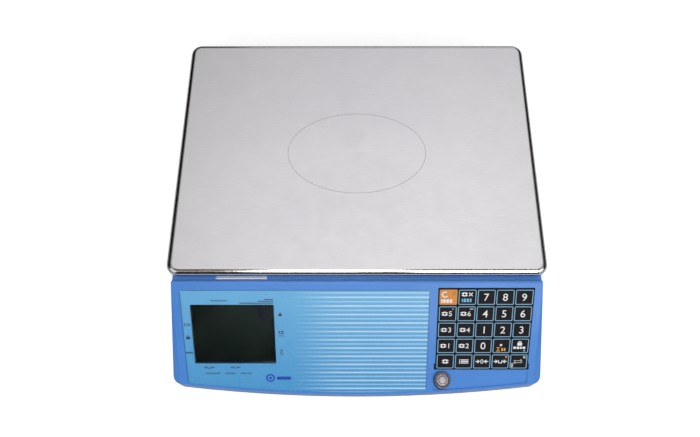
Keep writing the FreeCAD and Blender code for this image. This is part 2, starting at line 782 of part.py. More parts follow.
# ---------------------------------------------------------------- panel pieces
def keypad_plate(name, margin, thickness):
    """The keypad's outline with its slightly wider foot."""
    body = new_body(name)
    sketch = sketch_in(body, name + "_outline")
    half, foot_half = f"(keypad_width / 2 + {margin})", f"(keypad_foot_width / 2 + {margin})"
    top, low = f"(keypad_length / 2 + {margin})", f"(-keypad_length / 2 - {margin})"
    step = f"({low} + keypad_foot_length + 2 * {margin})"
    points = [(f"-{foot_half}", low), (foot_half, low), (foot_half, step), (half, step)]
    points += [(half, top), (f"-{half}", top), (f"-{half}", step), (f"-{foot_half}", step)]
    polygon(sketch, points)
    pad(body, sketch, thickness)
    return body


def key_centres():
    """Each key's name with its place across and up the keypad, from the keypad's middle."""
    for r, names in enumerate(KEY_NAMES):
        for c, name in enumerate(names):
            yield name, f"({c - 2} * key_pitch_x)", f"({2 - r} * key_pitch_y)"


def keypad_frame():
    """Black plate with an opening for each key."""
    plate = keypad_plate("keypad_frame", "0", "keypad_sheet")
    doc.recompute()
    sketch = sketch_in(plate, "key_opening", height="keypad_sheet")
    x, y = "(-2 * key_pitch_x)", "(-2 * key_pitch_y)"
    half_x, half_y = "(key_width / 2 + key_gap)", "(key_length / 2 + key_gap)"
    sides = (f"{x} - {half_x}", f"{x} + {half_x}", f"{y} - {half_y}", f"{y} + {half_y}")
    rounded_rectangle(sketch, *sides, "key_corner + key_gap")
    opening = pocket(plate, sketch, "keypad_sheet + 1")
    grid = plate.newObject("PartDesign::MultiTransform", "key_openings")
    grid.Originals = [opening]
    steps = []
    for axis, pitch in (("H_Axis", "key_pitch_x"), ("V_Axis", "key_pitch_y")):
        pattern = plate.newObject("PartDesign::LinearPattern", f"openings_{axis[0]}")
        pattern.Direction = (sketch, [axis])
        bind(pattern, Length=f"4 * {pitch}")
        pattern.Occurrences = 5
        steps.append(pattern)
    grid.Transformations = steps
    plate.Tip = grid
    place_on_panel(plate, "keypad_x", "keypad_down", "keypad_proud - keypad_sheet")
    return node("keypad_frame", plate)


def keys():
    """Twenty-five keys, each free to sink by its travel."""
    for name, x, y in key_centres():
        key = centred_slab(name, "key_width", "key_length", "key_proud + key_depth", "key_corner")
        height = value("key_proud + key_depth")
        round_body_edges(key, "0.25", lambda edge: abs(edge.BoundBox.ZMin - height) < 1e-4)
        place_on_panel(key, f"keypad_x + {x}", f"keypad_down - {y}", "-key_depth")
        node(name, key)


def keypad_circuit():
    """Circuit board under the keys with a snap dome below each one."""
    board = centred_slab(
        "keypad_board", "5 * key_pitch_x + 4", "5 * key_pitch_y + 2", "board_sheet", "1", downward=True
    )
    domes = []
    for name, x, y in key_centres():
        dome = doc.addObject("Part::Cone", "dome_" + name)
        bind(dome, Radius1="dome_radius", Radius2="dome_radius * 0.6", Height="dome_height")
        bind(dome, Placement__Base__x=x, Placement__Base__y=y)
        domes.append(dome)
    circuit = fuse("keypad_circuit", [board] + domes)
    place_on_panel(circuit, "keypad_x", "keypad_down", "-wall - 0.02")
    return node("keypad_circuit", circuit)


def display_pieces():
    """Overlay sheet, clear pane, LCD glass and its board, stacked under the panel."""
    overlay = panel_plate(
        "overlay_plate", "overlay_left + overlay_gap", "overlay_right - overlay_gap",
        "overlay_top + overlay_gap", "pocket_bottom - overlay_gap", "overlay_sheet", "pocket_corner",
    )
    hole = sketch_in(overlay, "overlay_window", height="overlay_sheet")
    half_x, half_y = "window_width / 2", "window_length / 2"
    rounded_rectangle(
        hole, f"window_x - {half_x}", f"window_x + {half_x}", f"-window_down - {half_y}",
        f"-window_down + {half_y}", "1",
    )
    pocket(overlay, hole, "overlay_sheet + 1")
    place_on_panel(overlay, proud="-pocket_depth")
    node("display_overlay", overlay)

    top = "overlay_sheet - pocket_depth"
    pane = centred_slab(
        "display_window", "window_width - 0.2", "window_length - 0.2", "window_sheet", "0.9", downward=True
    )
    place_on_panel(pane, "window_x", "window_down", top)
    node("display_window", pane)

    glass = centred_slab("lcd_front", "lcd_width", "lcd_length", "lcd_sheet", "0.8", downward=True)
    place_on_panel(glass, "window_x", "window_down", "-wall - 0.05")
    node("lcd_front", glass)

    board = centred_slab(
        "lcd_front_board", "lcd_width + lcd_board_margin", "lcd_length + lcd_board_margin",
        "board_sheet", "1", downward=True,
    )
    place_on_panel(board, "window_x", "window_down", "-wall - 0.1 - lcd_sheet")
    node("lcd_front_board", board)


def bubble_level():
    """Round vial standing upright through the sloping panel, with a raised rim round its lens."""
    body = new_body("bubble_level")
    sketch = sketch_in(body, "vial_outline")
    circle(sketch, "0", "0", "level_radius")
    pad(body, sketch, "level_height")
    doc.recompute()
    well = sketch_in(body, "vial_well", height="level_height")
    circle(well, "0", "0", "level_radius - 1.8")
    pocket(body, well, "0.8")
    top = value("level_height")
    rim = lambda edge: abs(edge.BoundBox.ZMin - top) < 1e-4 and edge.BoundBox.XLength > 14
    round_body_edges(body, "0.6", rim)
    place(body, "level_x", "crest_y - level_down * cos(panel_angle)", "level_top - level_height")
    return node("bubble_level", body)


# ---------------------------------------------------------------- pan and load path
def weighing_pan():
    """Stainless tray: flat top, rolled edges and a short skirt, open below."""
    body = centred_slab("weighing_pan", "pan_width", "pan_depth", "pan_height", "pan_corner")
    top = value("pan_height")
    round_body_edges(body, "pan_bend", lambda edge: abs(edge.BoundBox.ZMin - top) < 1e-4)
    doc.recompute()
    base = body.Tip
    below = [f"Face{i}" for i, face in enumerate(base.Shape.Faces, start=1) if face.BoundBox.ZMax < 1e-4]
    shell = body.newObject("PartDesign::Thickness", "pan_shell")
    shell.Base = (base, below)
    shell.Reversed = True
    bind(shell, Value="pan_sheet")
    place(body, "0", "pan_y", "total_height - pan_height")
    return node("weighing_pan", body)


CELL_BOTTOM = "(base_bottom + floor_wall + bracket_height)"
CELL_TOP = f"({CELL_BOTTOM} + cell_height)"
FRAME_BOTTOM = f"({CELL_TOP} + frame_boss)"
FRAME_TOP = f"({FRAME_BOTTOM} + frame_plate)"
POST_TOP = "(total_height - pan_sheet - pad_height)"


def pan_support_frame():
    """Cast cross with a post at each end, bolted to the free end of the load cell."""
    half_x, half_y = "cell_length / 2", "frame_plate_width / 2"
    solids = [
        block("frame_plate_block", (f"-{half_x}", half_x), (f"pan_y - {half_y}", f"pan_y + {half_y}"),
              (FRAME_BOTTOM, FRAME_TOP)),
        block("frame_boss_block", ("cell_length / 2 - cell_end", "cell_length / 2"),
              ("pan_y - cell_width / 2", "pan_y + cell_width / 2"), (CELL_TOP, FRAME_TOP)),
    ]
    for i, slope in enumerate((1, -1)):
        arm = doc.addObject("Part::Box", f"frame_arm_{i}")
        length = "sqrt(post_x * post_x + post_y * post_y)"
        bind(arm, Length=f"2 * {length}", Width="arm_width", Height="frame_plate")
        angle = slope * math.degrees(math.atan2(value("post_y"), value("post_x")))
        turn = FreeCAD.Rotation(Vector(0, 0, 1), angle)
        corner = turn.multVec(Vector(-value(length), -value("arm_width") / 2, 0))
        arm.Placement = FreeCAD.Placement(corner + Vector(0, value("pan_y"), value(FRAME_BOTTOM)), turn)
        solids.append(arm)
    for i, (side, end) in enumerate(((-1, -1), (1, -1), (-1, 1), (1, 1))):
        x, y = f"{side} * post_x", f"pan_y + {end} * post_y"
        foot_reach = (FRAME_BOTTOM, f"{FRAME_TOP} + post_step")
        solids.append(rod(f"post_foot_{i}", "post_radius + post_flare", x, y, foot_reach))
        solids.append(rod(f"post_{i}", "post_radius", x, y, (FRAME_BOTTOM, POST_TOP)))
    holes = [
        rod(f"frame_way_{i}", "bolt_bore", x, "pan_y", (f"{CELL_TOP} - 5", f"{FRAME_TOP} + 5"))
        for i, x in enumerate(cell_bolt_places(1))
    ]
    return node("pan_support_frame", cut("pan_support_frame", fuse("frame_solid", solids), holes))


def pan_pads():
    """Four rubber pads that the pan stands on."""
    pads = [
        rod(f"pan_pad_{i}", "post_radius", f"{side} * post_x", f"pan_y + {end} * post_y",
            (POST_TOP, f"{POST_TOP} + pad_height"))
        for i, (side, end) in enumerate(((-1, -1), (1, -1), (-1, 1), (1, 1)))
    ]
    return node("pan_pads", compound("pan_pads", pads))


def load_cell():
    """Single-point aluminium cell with its two cross bores joined by a slot."""
    bar = block("cell_bar", ("-cell_length / 2", "cell_length / 2"),
                ("pan_y - cell_width / 2", "pan_y + cell_width / 2"), (CELL_BOTTOM, CELL_TOP))
    middle = f"({CELL_BOTTOM} + cell_height / 2)"
    holes = []
    for i, side in enumerate((-1, 1)):
        bore = doc.addObject("Part::Cylinder", f"cell_bore_{i}")
        bore.Placement.Rotation = FreeCAD.Rotation(Vector(1, 0, 0), -90)
        bind(bore, Radius="cell_bore", Height="cell_width + 2")
        bind(bore, Placement__Base__x=f"{side} * cell_length * 0.12",
             Placement__Base__y="pan_y - cell_width / 2 - 1", Placement__Base__z=middle)
        holes.append(bore)
    holes.append(
        block("cell_slot_block", ("-cell_length * 0.12", "cell_length * 0.12"),
              ("pan_y - cell_width / 2 - 1", "pan_y + cell_width / 2 + 1"),
              (f"{middle} - cell_slot / 2", f"{middle} + cell_slot / 2"))
    )
    low_reach = (f"{CELL_BOTTOM} - 1", f"{CELL_BOTTOM} + cell_thread")
    top_reach = (f"{CELL_TOP} - cell_thread", f"{CELL_TOP} + 1")
    for i, x in enumerate(cell_bolt_places(-1)):
        holes.append(rod(f"cell_thread_low_{i}", "bolt_bore", x, "pan_y", low_reach))
    for i, x in enumerate(cell_bolt_places(1)):
        holes.append(rod(f"cell_thread_top_{i}", "bolt_bore", x, "pan_y", top_reach))
    return node("load_cell", cut("load_cell", bar, holes))


def load_cell_bracket():
    """Steel block between the casing's floor and the fixed end of the cell."""
    seat = block("bracket_block", ("-cell_length / 2 - 12", "-cell_length / 2 + cell_end"),
                 ("pan_y - cell_width / 2 - 8", "pan_y + cell_width / 2 + 8"),
                 ("base_bottom + floor_wall", CELL_BOTTOM))
    ways = [
        rod(f"bracket_way_{i}", "bolt_bore", x, "pan_y", ("base_bottom", f"{CELL_BOTTOM} + 1"))
        for i, x in enumerate(cell_bolt_places(-1))
    ]
    return node("load_cell_bracket", cut("load_cell_bracket", seat, ways))


def socket_screw(name, x, y, head_z, toward, length):
    """A cap screw: head at head_z, shank running up or down from it."""
    if toward > 0:
        head = (f"{head_z} - bolt_head", head_z)
        shank = (head_z, f"{head_z} + {length}")
        socket = (f"{head_z} - bolt_head - 1", f"{head_z} - bolt_head + socket_depth")
    else:
        head = (head_z, f"{head_z} + bolt_head")
        shank = (f"{head_z} - {length}", head_z)
        socket = (f"{head_z} + bolt_head - socket_depth", f"{head_z} + bolt_head + 1")
    solid = fuse(name + "_solid", [
        rod(name + "_head", "bolt_head_radius", x, y, head),
        rod(name + "_shank", "bolt_radius", x, y, shank),
    ])
    return cut(name, solid, [rod(name + "_socket", "socket_radius", x, y, socket)])


def cell_screws():
    """Two screws up through the floor and two down through the support frame."""
    grip = "(floor_wall + bracket_height + cell_bolt_grip)"
    low = [socket_screw(f"low_screw_{i}", x, "pan_y", "base_bottom", 1, grip)
           for i, x in enumerate(cell_bolt_places(-1))]
    node("cell_screws_lower", compound("cell_screws_lower", low))
    grip = "(frame_plate + frame_boss + cell_bolt_grip)"
    high = [socket_screw(f"top_screw_{i}", x, "pan_y", FRAME_TOP, -1, grip)
            for i, x in enumerate(cell_bolt_places(1))]
    node("cell_screws_upper", compound("cell_screws_upper", high))


def overload_stops():
    """Four stop screws on posts that catch the frame's arms before the cell is overloaded."""
    stops = []
    for i, (side, end) in enumerate(((-1, -1), (1, -1), (-1, 1), (1, 1))):
        x, y = f"{side} * post_x * stop_fraction", f"pan_y + {end} * post_y * stop_fraction"
        floor = "base_bottom + floor_wall"
        stops.append(fuse(f"stop_{i}", [
            rod(f"stop_post_{i}", "stop_post_radius", x, y, (floor, f"{FRAME_BOTTOM} - stop_screw_length")),
            rod(f"stop_screw_{i}", "stop_screw_radius", x, y,
                (f"{FRAME_BOTTOM} - stop_screw_length", f"{FRAME_BOTTOM} - stop_gap")),
        ]))
    return node("overload_stops", compound("overload_stops", stops))


# ---------------------------------------------------------------- feet and fasteners
def feet():
    """Levelling feet: a rubber pad under a threaded stud with a thumb disc."""
    names = ["front_left", "front_right", "rear_left", "rear_right"]
    for name, (side, y) in zip(names, foot_places()):
        x = f"{side} * foot_x"
        rubber = new_body(f"foot_pad_{name}")
        outline = sketch_in(rubber, f"foot_pad_{name}_outline")
        circle(outline, "0", "0", "foot_pad_radius")
        pad(rubber, outline, "foot_pad_height")
        doc.recompute()
        seat = sketch_in(rubber, f"foot_pad_{name}_seat", height="foot_pad_height")
        circle(seat, "0", "0", "stud_radius + 0.3")
        pocket(rubber, seat, "stud_recess + 0.2")
        height = value("foot_pad_height")
        outer = lambda edge: edge.BoundBox.XLength > 25
        round_body_edges(rubber, "1.2", lambda edge: outer(edge) and edge.BoundBox.ZMin > height - 1e-3)
        place(rubber, x, y)
        node(f"foot_pad_{name}", rubber)

        stud = new_body(f"foot_stud_{name}")
        core = sketch_in(stud, f"foot_stud_{name}_core")
        circle(core, "0", "0", "stud_radius")
        pad(stud, core, "stud_length")
        disc = sketch_in(stud, f"foot_stud_{name}_disc", height="stud_recess + 0.1")
        circle(disc, "0", "0", "foot_disc_radius")
        pad(stud, disc, "foot_disc_height")
        place(stud, x, y, "foot_pad_height - stud_recess")
        node(f"foot_stud_{name}", stud)


def cover_screws():
    """Six screws that hold the lower casing to the upper one."""
    screws = []
    for i, (x, y) in enumerate(SCREW_PLACES):
        low = "base_bottom + screw_sink - screw_head"
        high = f"{low} + screw_head"
        solid = fuse(f"cover_screw_solid_{i}", [
            rod(f"cover_screw_head_{i}", "screw_head_radius", str(x), str(y), (low, high)),
            rod(f"cover_screw_shank_{i}", "screw_radius", str(x), str(y), (high, f"{low} + screw_length")),
        ])
        drive_reach = (f"{low} - 1", f"{low} + drive_radius")
        drive = rod(f"cover_screw_drive_{i}", "drive_radius", str(x), str(y), drive_reach)
        screws.append(cut(f"cover_screw_{i}", solid, [drive]))
    return node("cover_screws", compound("cover_screws", screws))


# ---------------------------------------------------------------- boards, power and rear display
def standoffs(name, x0, x1, y0, y1):
    """Four legs under a board's corners."""
    reach = ("base_bottom + floor_wall", "base_bottom + floor_wall + standoff_height")
    xs = (f"{x0} + standoff_inset", f"{x1} - standoff_inset")
    ys = (f"{y0} + standoff_inset", f"{y1} - standoff_inset")
    places = [(x, y) for y in ys for x in xs]
    return [rod(f"{name}_{i}", "standoff_radius", x, y, reach) for i, (x, y) in enumerate(places)]


def main_board():
    """Circuit board on four stand-offs with its larger components."""
    low = "base_bottom + floor_wall + standoff_height"
    top = f"{low} + board_sheet"
    edges = ("board_left", "board_right", "board_front", "board_rear")
    solids = [block("board_sheet_block", edges[:2], edges[2:], (low, top))]
    solids += standoffs("board_leg", *edges)
    for name, (left, front, wide, deep, tall) in BOARD_PARTS.items():
        x = (f"board_left + {left}", f"board_left + {left + wide}")
        y = (f"board_front + {front}", f"board_front + {front + deep}")
        solids.append(block(name, x, y, (top, f"{top} + {tall}")))
    solids.append(capacitor("board_capacitor", "board_left + 59", "board_front + 55", top, "12"))
    return node("main_board", fuse("main_board", solids))


def capacitor(name, x, y, z, height):
    return rod(name, "5.5", x, y, (z, f"{z} + {height}"))


def power_supply():
    """Mains board with transformer and capacitor, near the inlet."""
    low = "base_bottom + floor_wall + standoff_height"
    top = f"{low} + board_sheet"
    edges = ("supply_left", "supply_right", "supply_front", "supply_rear")
    y = ("supply_front + 8", "supply_rear - 8")
    solids = [
        block("supply_sheet_block", edges[:2], edges[2:], (low, top)),
        block("transformer_core", ("supply_left + 10", "supply_left + 38"), y, (top, f"{top} + 20")),
        block("supply_heatsink", ("supply_right - 16", "supply_right - 12"), y, (top, f"{top} + 18")),
        capacitor("supply_capacitor", "supply_right - 23", "supply_rear - 16", top, "19"),
    ]
    solids += standoffs("supply_leg", *edges)
    return node("power_supply", fuse("power_supply", solids))


def battery_pieces():
    """Sealed battery lying on the floor, and the sliding door under it."""
    battery = centred_slab("battery", "battery_width", "battery_depth", "battery_height", "2")
    place(battery, "battery_x", "battery_y", "base_bottom + floor_wall + 0.3")
    node("battery", battery)

    door = centred_slab("battery_door", "door_width", "door_depth", "door_sheet", "1.5")
    doc.recompute()
    grip = sketch_in(door, "door_grip")
    grip_front = "-door_depth / 2 + grip_setback"
    grip_rear = f"{grip_front} + grip_length"
    rounded_rectangle(grip, "-grip_half_width", "grip_half_width", grip_front, grip_rear, "1.5")
    pocket(door, grip, "0.8", upward=True)
    place(door, "battery_x", "battery_y", "base_bottom - door_gap - door_sheet")
    node("battery_door", door)


def rear_display():
    """Customer's window in the rear wall with its LCD behind."""
    pane = centred_slab(
        "rear_display_window", "rear_window_width - 0.2", "rear_window_height - 0.2", "2", "1.9",
        downward=True,
    )
    place_on_rear(pane, "rear_window_x", "rear_window_z", "-0.2")
    node("rear_display_window", pane)
    glass = centred_slab(
        "lcd_rear", "rear_window_width + 6", "rear_window_height + 6", "4", "1", downward=True
    )
    place_on_rear(glass, "rear_window_x", "rear_window_z", "-wall - 0.05")
    node("lcd_rear", glass)


def power_switch():
    """Rocker switch in the right-hand wall. The rocker turns on two pins in the housing's sides."""
    housing = centred_slab("switch_shell", "switch_width - 0.2", "switch_height - 0.2", "switch_depth", "0.8",
                           downward=True)
    rim = sketch_in(housing, "switch_rim_outline")
    rounded_rectangle(rim, "-switch_width / 2 - switch_flange", "switch_width / 2 + switch_flange",
                      "-switch_height / 2 - switch_flange", "switch_height / 2 + switch_flange", "1.2")
    pad(housing, rim, "switch_rim")
    doc.recompute()
    mouth = sketch_in(housing, "switch_mouth", height="switch_rim")
    rounded_rectangle(mouth, "-switch_width / 2 + switch_wall", "switch_width / 2 - switch_wall",
                      "-switch_height / 2 + switch_wall", "switch_height / 2 - switch_wall", "0.4")
    pocket(housing, mouth, "switch_rim + switch_well")
    doc.recompute()
    socket = sketch_in(housing, "pin_sockets", role="XZ_Plane")
    circle(socket, "0", "-pin_depth", "pin_radius + 0.05")
    holes = housing.newObject("PartDesign::Pocket", "pin_socket_pocket")
    holes.Profile = socket
    holes.SideType = "Symmetric"
    bind(holes, Length="switch_height - 1")
    housing.Tip = holes
    place_on_right(housing, "switch_y", "switch_z")
    node("switch_housing", housing)

    rocker = new_body("power_rocker")
    side = sketch_in(rocker, "rocker_side", role="XZ_Plane")
    half = "(switch_width / 2 - rocker_margin)"
    polygon(side, [
        (f"-{half}", "-rocker_edge"), ("0", "-rocker_belly"), (half, "-rocker_edge"),
        (half, "switch_rim * 0.3"), ("0", "switch_rim * 0.55"), (f"-{half}", "switch_rim * 1.8"),
    ])
    pin = sketch_in(rocker, "rocker_pin", role="XZ_Plane")
    circle(pin, "0", "-pin_depth", "pin_radius")
    for name, profile, length in (
        ("rocker_pad", side, "switch_height - rocker_side_gap"),
        ("rocker_pin_pad", pin, "switch_height - pin_end_gap"),
    ):
        solid = rocker.newObject("PartDesign::Pad", name)
        solid.Profile = profile
        solid.SideType = "Symmetric"
        bind(solid, Length=length)
    rocker.Tip = solid
    place_on_right(rocker, "switch_y", "switch_z")
    node("power_rocker", rocker)


def power_inlet():
    """Mains inlet in the rear wall: a socket with three blades, with nothing plugged in."""
    shell = centred_slab(
        "inlet_shell", "inlet_width - 0.3", "inlet_height - 0.3", "inlet_depth", "1", downward=True
    )
    rim = sketch_in(shell, "inlet_rim_outline")
    rim_x, rim_y = "(inlet_width / 2 + inlet_flange)", "(inlet_height / 2 + inlet_flange)"
    rounded_rectangle(rim, f"-{rim_x}", rim_x, f"-{rim_y}", rim_y, "2")
    pad(shell, rim, "inlet_rim")
    doc.recompute()
    mouth = sketch_in(shell, "inlet_mouth", height="inlet_rim")
    x, y = "inlet_mouth_width / 2", "inlet_mouth_height / 2"
    polygon(mouth, [
        (f"-{x}", f"-{y}"), (x, f"-{y}"), (x, f"{y} - inlet_cant"),
        (f"{x} - inlet_cant", y), (f"-{x} + inlet_cant", y), (f"-{x}", f"{y} - inlet_cant"),
    ])
    pocket(shell, mouth, "inlet_mouth_depth")
    blades = [("-blade_spread", "-blade_drop"), ("blade_spread", "-blade_drop"), ("0", "blade_drop")]
    for i, (x, y) in enumerate(blades):
        blade = sketch_in(shell, f"inlet_blade_{i}", height="inlet_rim - inlet_mouth_depth - 0.5")
        sides = (f"{x} - blade_half_width", f"{x} + blade_half_width")
        ends = (f"{y} - blade_half_height", f"{y} + blade_half_height")
        rounded_rectangle(blade, *sides, *ends, "0.3")
        pad(shell, blade, "inlet_mouth_depth - blade_short - 0.5")
    place_on_rear(shell, "inlet_x", "inlet_z")
    return node("power_inlet", shell)


# ---------------------------------------------------------------- build, check and write
top_cover()
base_cover()
keypad_frame()
keys()
keypad_circuit()
display_pieces()
bubble_level()
weighing_pan()
pan_support_frame()
pan_pads()
load_cell()
load_cell_bracket()
cell_screws()
overload_stops()
feet()
cover_screws()
main_board()
power_supply()
battery_pieces()
rear_display()
power_switch()
power_inlet()

doc.recompute()
failed = [obj.Name for obj in doc.Objects if "Invalid" in obj.State or "Error" in obj.State]
if failed:
    raise RuntimeError(f"failed objects: {failed}")
for label, piece in nodes.items():
    if piece.Shape.isNull() or not piece.Shape.isValid():
        raise RuntimeError(f"{label} has no valid shape")

os.makedirs("parts", exist_ok=True)
for label, piece in nodes.items():
    piece.Shape.exportStep(f"parts/{label}.step")
    solids = piece.Shape.Solids
    volume = sum(solid.Volume for solid in solids)
    print(f"{label}: {len(solids)} solids, {volume:.1f} mm3")
print(f"{len(nodes)} nodes")
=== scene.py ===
import json
import math

import bpy
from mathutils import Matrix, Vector


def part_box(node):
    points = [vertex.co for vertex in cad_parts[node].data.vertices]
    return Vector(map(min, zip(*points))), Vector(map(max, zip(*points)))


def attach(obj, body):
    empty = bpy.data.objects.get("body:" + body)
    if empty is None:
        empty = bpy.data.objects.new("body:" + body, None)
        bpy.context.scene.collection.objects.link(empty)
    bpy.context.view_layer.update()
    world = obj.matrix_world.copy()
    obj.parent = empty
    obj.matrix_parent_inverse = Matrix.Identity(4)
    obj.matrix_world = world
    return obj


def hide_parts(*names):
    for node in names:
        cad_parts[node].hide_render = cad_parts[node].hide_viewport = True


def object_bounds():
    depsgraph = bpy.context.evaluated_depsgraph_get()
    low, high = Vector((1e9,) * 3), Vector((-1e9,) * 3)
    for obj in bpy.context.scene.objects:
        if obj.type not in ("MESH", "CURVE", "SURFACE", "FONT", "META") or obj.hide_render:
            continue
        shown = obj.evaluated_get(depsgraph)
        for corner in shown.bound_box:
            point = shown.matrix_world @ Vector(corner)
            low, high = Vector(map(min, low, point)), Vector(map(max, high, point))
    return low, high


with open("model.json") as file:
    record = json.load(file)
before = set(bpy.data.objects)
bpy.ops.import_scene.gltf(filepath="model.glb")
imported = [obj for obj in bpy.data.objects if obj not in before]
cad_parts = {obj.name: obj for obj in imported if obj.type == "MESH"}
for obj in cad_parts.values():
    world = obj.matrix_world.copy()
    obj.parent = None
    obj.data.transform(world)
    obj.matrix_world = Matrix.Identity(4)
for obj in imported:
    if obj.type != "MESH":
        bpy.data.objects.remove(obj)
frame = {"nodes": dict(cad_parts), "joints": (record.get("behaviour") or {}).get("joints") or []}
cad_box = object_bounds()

# Everything is in metres in the row frame: +X to the user's right, +Y away, +Z up.
MM = 0.001
nodes = frame["nodes"]
joints = {joint["name"]: joint for joint in frame["joints"]}

# The sloping panel's directions: across it, down the slope, and out of it.
OUT = -Vector(joints["key_0_press"]["axis"]).normalized()
ACROSS = Vector((1, 0, 0))
DOWN = ACROSS.cross(OUT)
UP = Vector((0, 0, 1))

INK = 0.04 * MM  # how far print stands off the surface that it is on
CURVE_STEPS = 48
CAP_HEIGHT = 0.69  # a capital's height in Blender's own font, as a part of the font's size


# ---------------------------------------------------------------- places

class Plane:
    """A flat place to draw on: an origin, and directions to the right, up and out of it."""

    def __init__(self, origin, right, up):
        self.origin, self.right, self.up = Vector(origin), Vector(right), Vector(up)
        self.out = self.right.cross(self.up)

    def at(self, x, y, z=0.0):
        return self.origin + self.right * x + self.up * y + self.out * z

    def moved(self, x, y, z=0.0):
        return Plane(self.at(x, y, z), self.right, self.up)


def extent(node, direction):
    """Lowest and highest place of a CAD node along a direction."""
    places = [vertex.co.dot(direction) for vertex in nodes[node].data.vertices]
    return min(places), max(places)


def span(node, direction):
    """How long a CAD node is along a direction."""
    low, high = extent(node, direction)
    return high - low


def flat_plane(x, y, z):
    """A level plane, drawn on from above."""
    return Plane((x, y, z), ACROSS, (0, 1, 0))


def panel_plane(node):
    """The plane on the outer face of a node of the panel, with its origin in the middle."""
    left, right = extent(node, ACROSS)
    top, bottom = extent(node, DOWN)
    face = extent(node, OUT)[1]
    centre = ACROSS * (left + right) / 2 + DOWN * (top + bottom) / 2 + OUT * face
    return Plane(centre, ACROSS, -DOWN)


# ---------------------------------------------------------------- outlines in a plane

def bar(x, y, width, height):
    """A rectangle by its middle and size."""
    a, b = width / 2, height / 2
    return [(x - a, y - b), (x + a, y - b), (x + a, y + b), (x - a, y + b)]


def arc(x, y, radius, start, stop, steps=16):
    """Points along an arc, in degrees."""
    angles = [math.radians(start + (stop - start) * i / steps) for i in range(steps + 1)]
    return [(x + radius * math.cos(a), y + radius * math.sin(a)) for a in angles]


def disc(x, y, radius, steps=24):
    return arc(x, y, radius, 0, 360, steps)[:-1]


def rounded(x, y, width, height, radius, steps=5):
    """A rounded rectangle by its middle and size."""
    a, b = width / 2 - radius, height / 2 - radius
    corners = ((a, b, 0), (-a, b, 90), (-a, -b, 180), (a, -b, 270))
    return [p for cx, cy, turn in corners for p in arc(x + cx, y + cy, radius, turn, turn + 90, steps)]


def stroke(points, width):
    """The outline of a pen line along points."""
    normals = []
    for (x, y), (next_x, next_y) in zip(points, points[1:]):
        size = math.hypot(next_x - x, next_y - y)
        normals.append(((y - next_y) / size, (next_x - x) / size))
    left, right = [], []
    for i, (x, y) in enumerate(points):
        ways = normals[max(0, i - 1):i + 1]
        nx, ny = sum(w[0] for w in ways), sum(w[1] for w in ways)
        size = math.hypot(nx, ny)
        nx, ny = nx / size, ny / size
        reach = width / 2 / max(0.35, nx * ways[0][0] + ny * ways[0][1])  # a sharp corner is cut off
        left.append((x + nx * reach, y + ny * reach))
        right.append((x - nx * reach, y - ny * reach))
    return left + right[::-1]


def scaled(outline, x, y, size):
    """An outline drawn about one unit across, made size large and moved to a place."""
    return [(x + px * size, y + py * size) for px, py in outline]


# ---------------------------------------------------------------- meshes

def add_object(name, data):
    made = bpy.data.objects.new(name, data)
    bpy.context.scene.collection.objects.link(made)
    return made


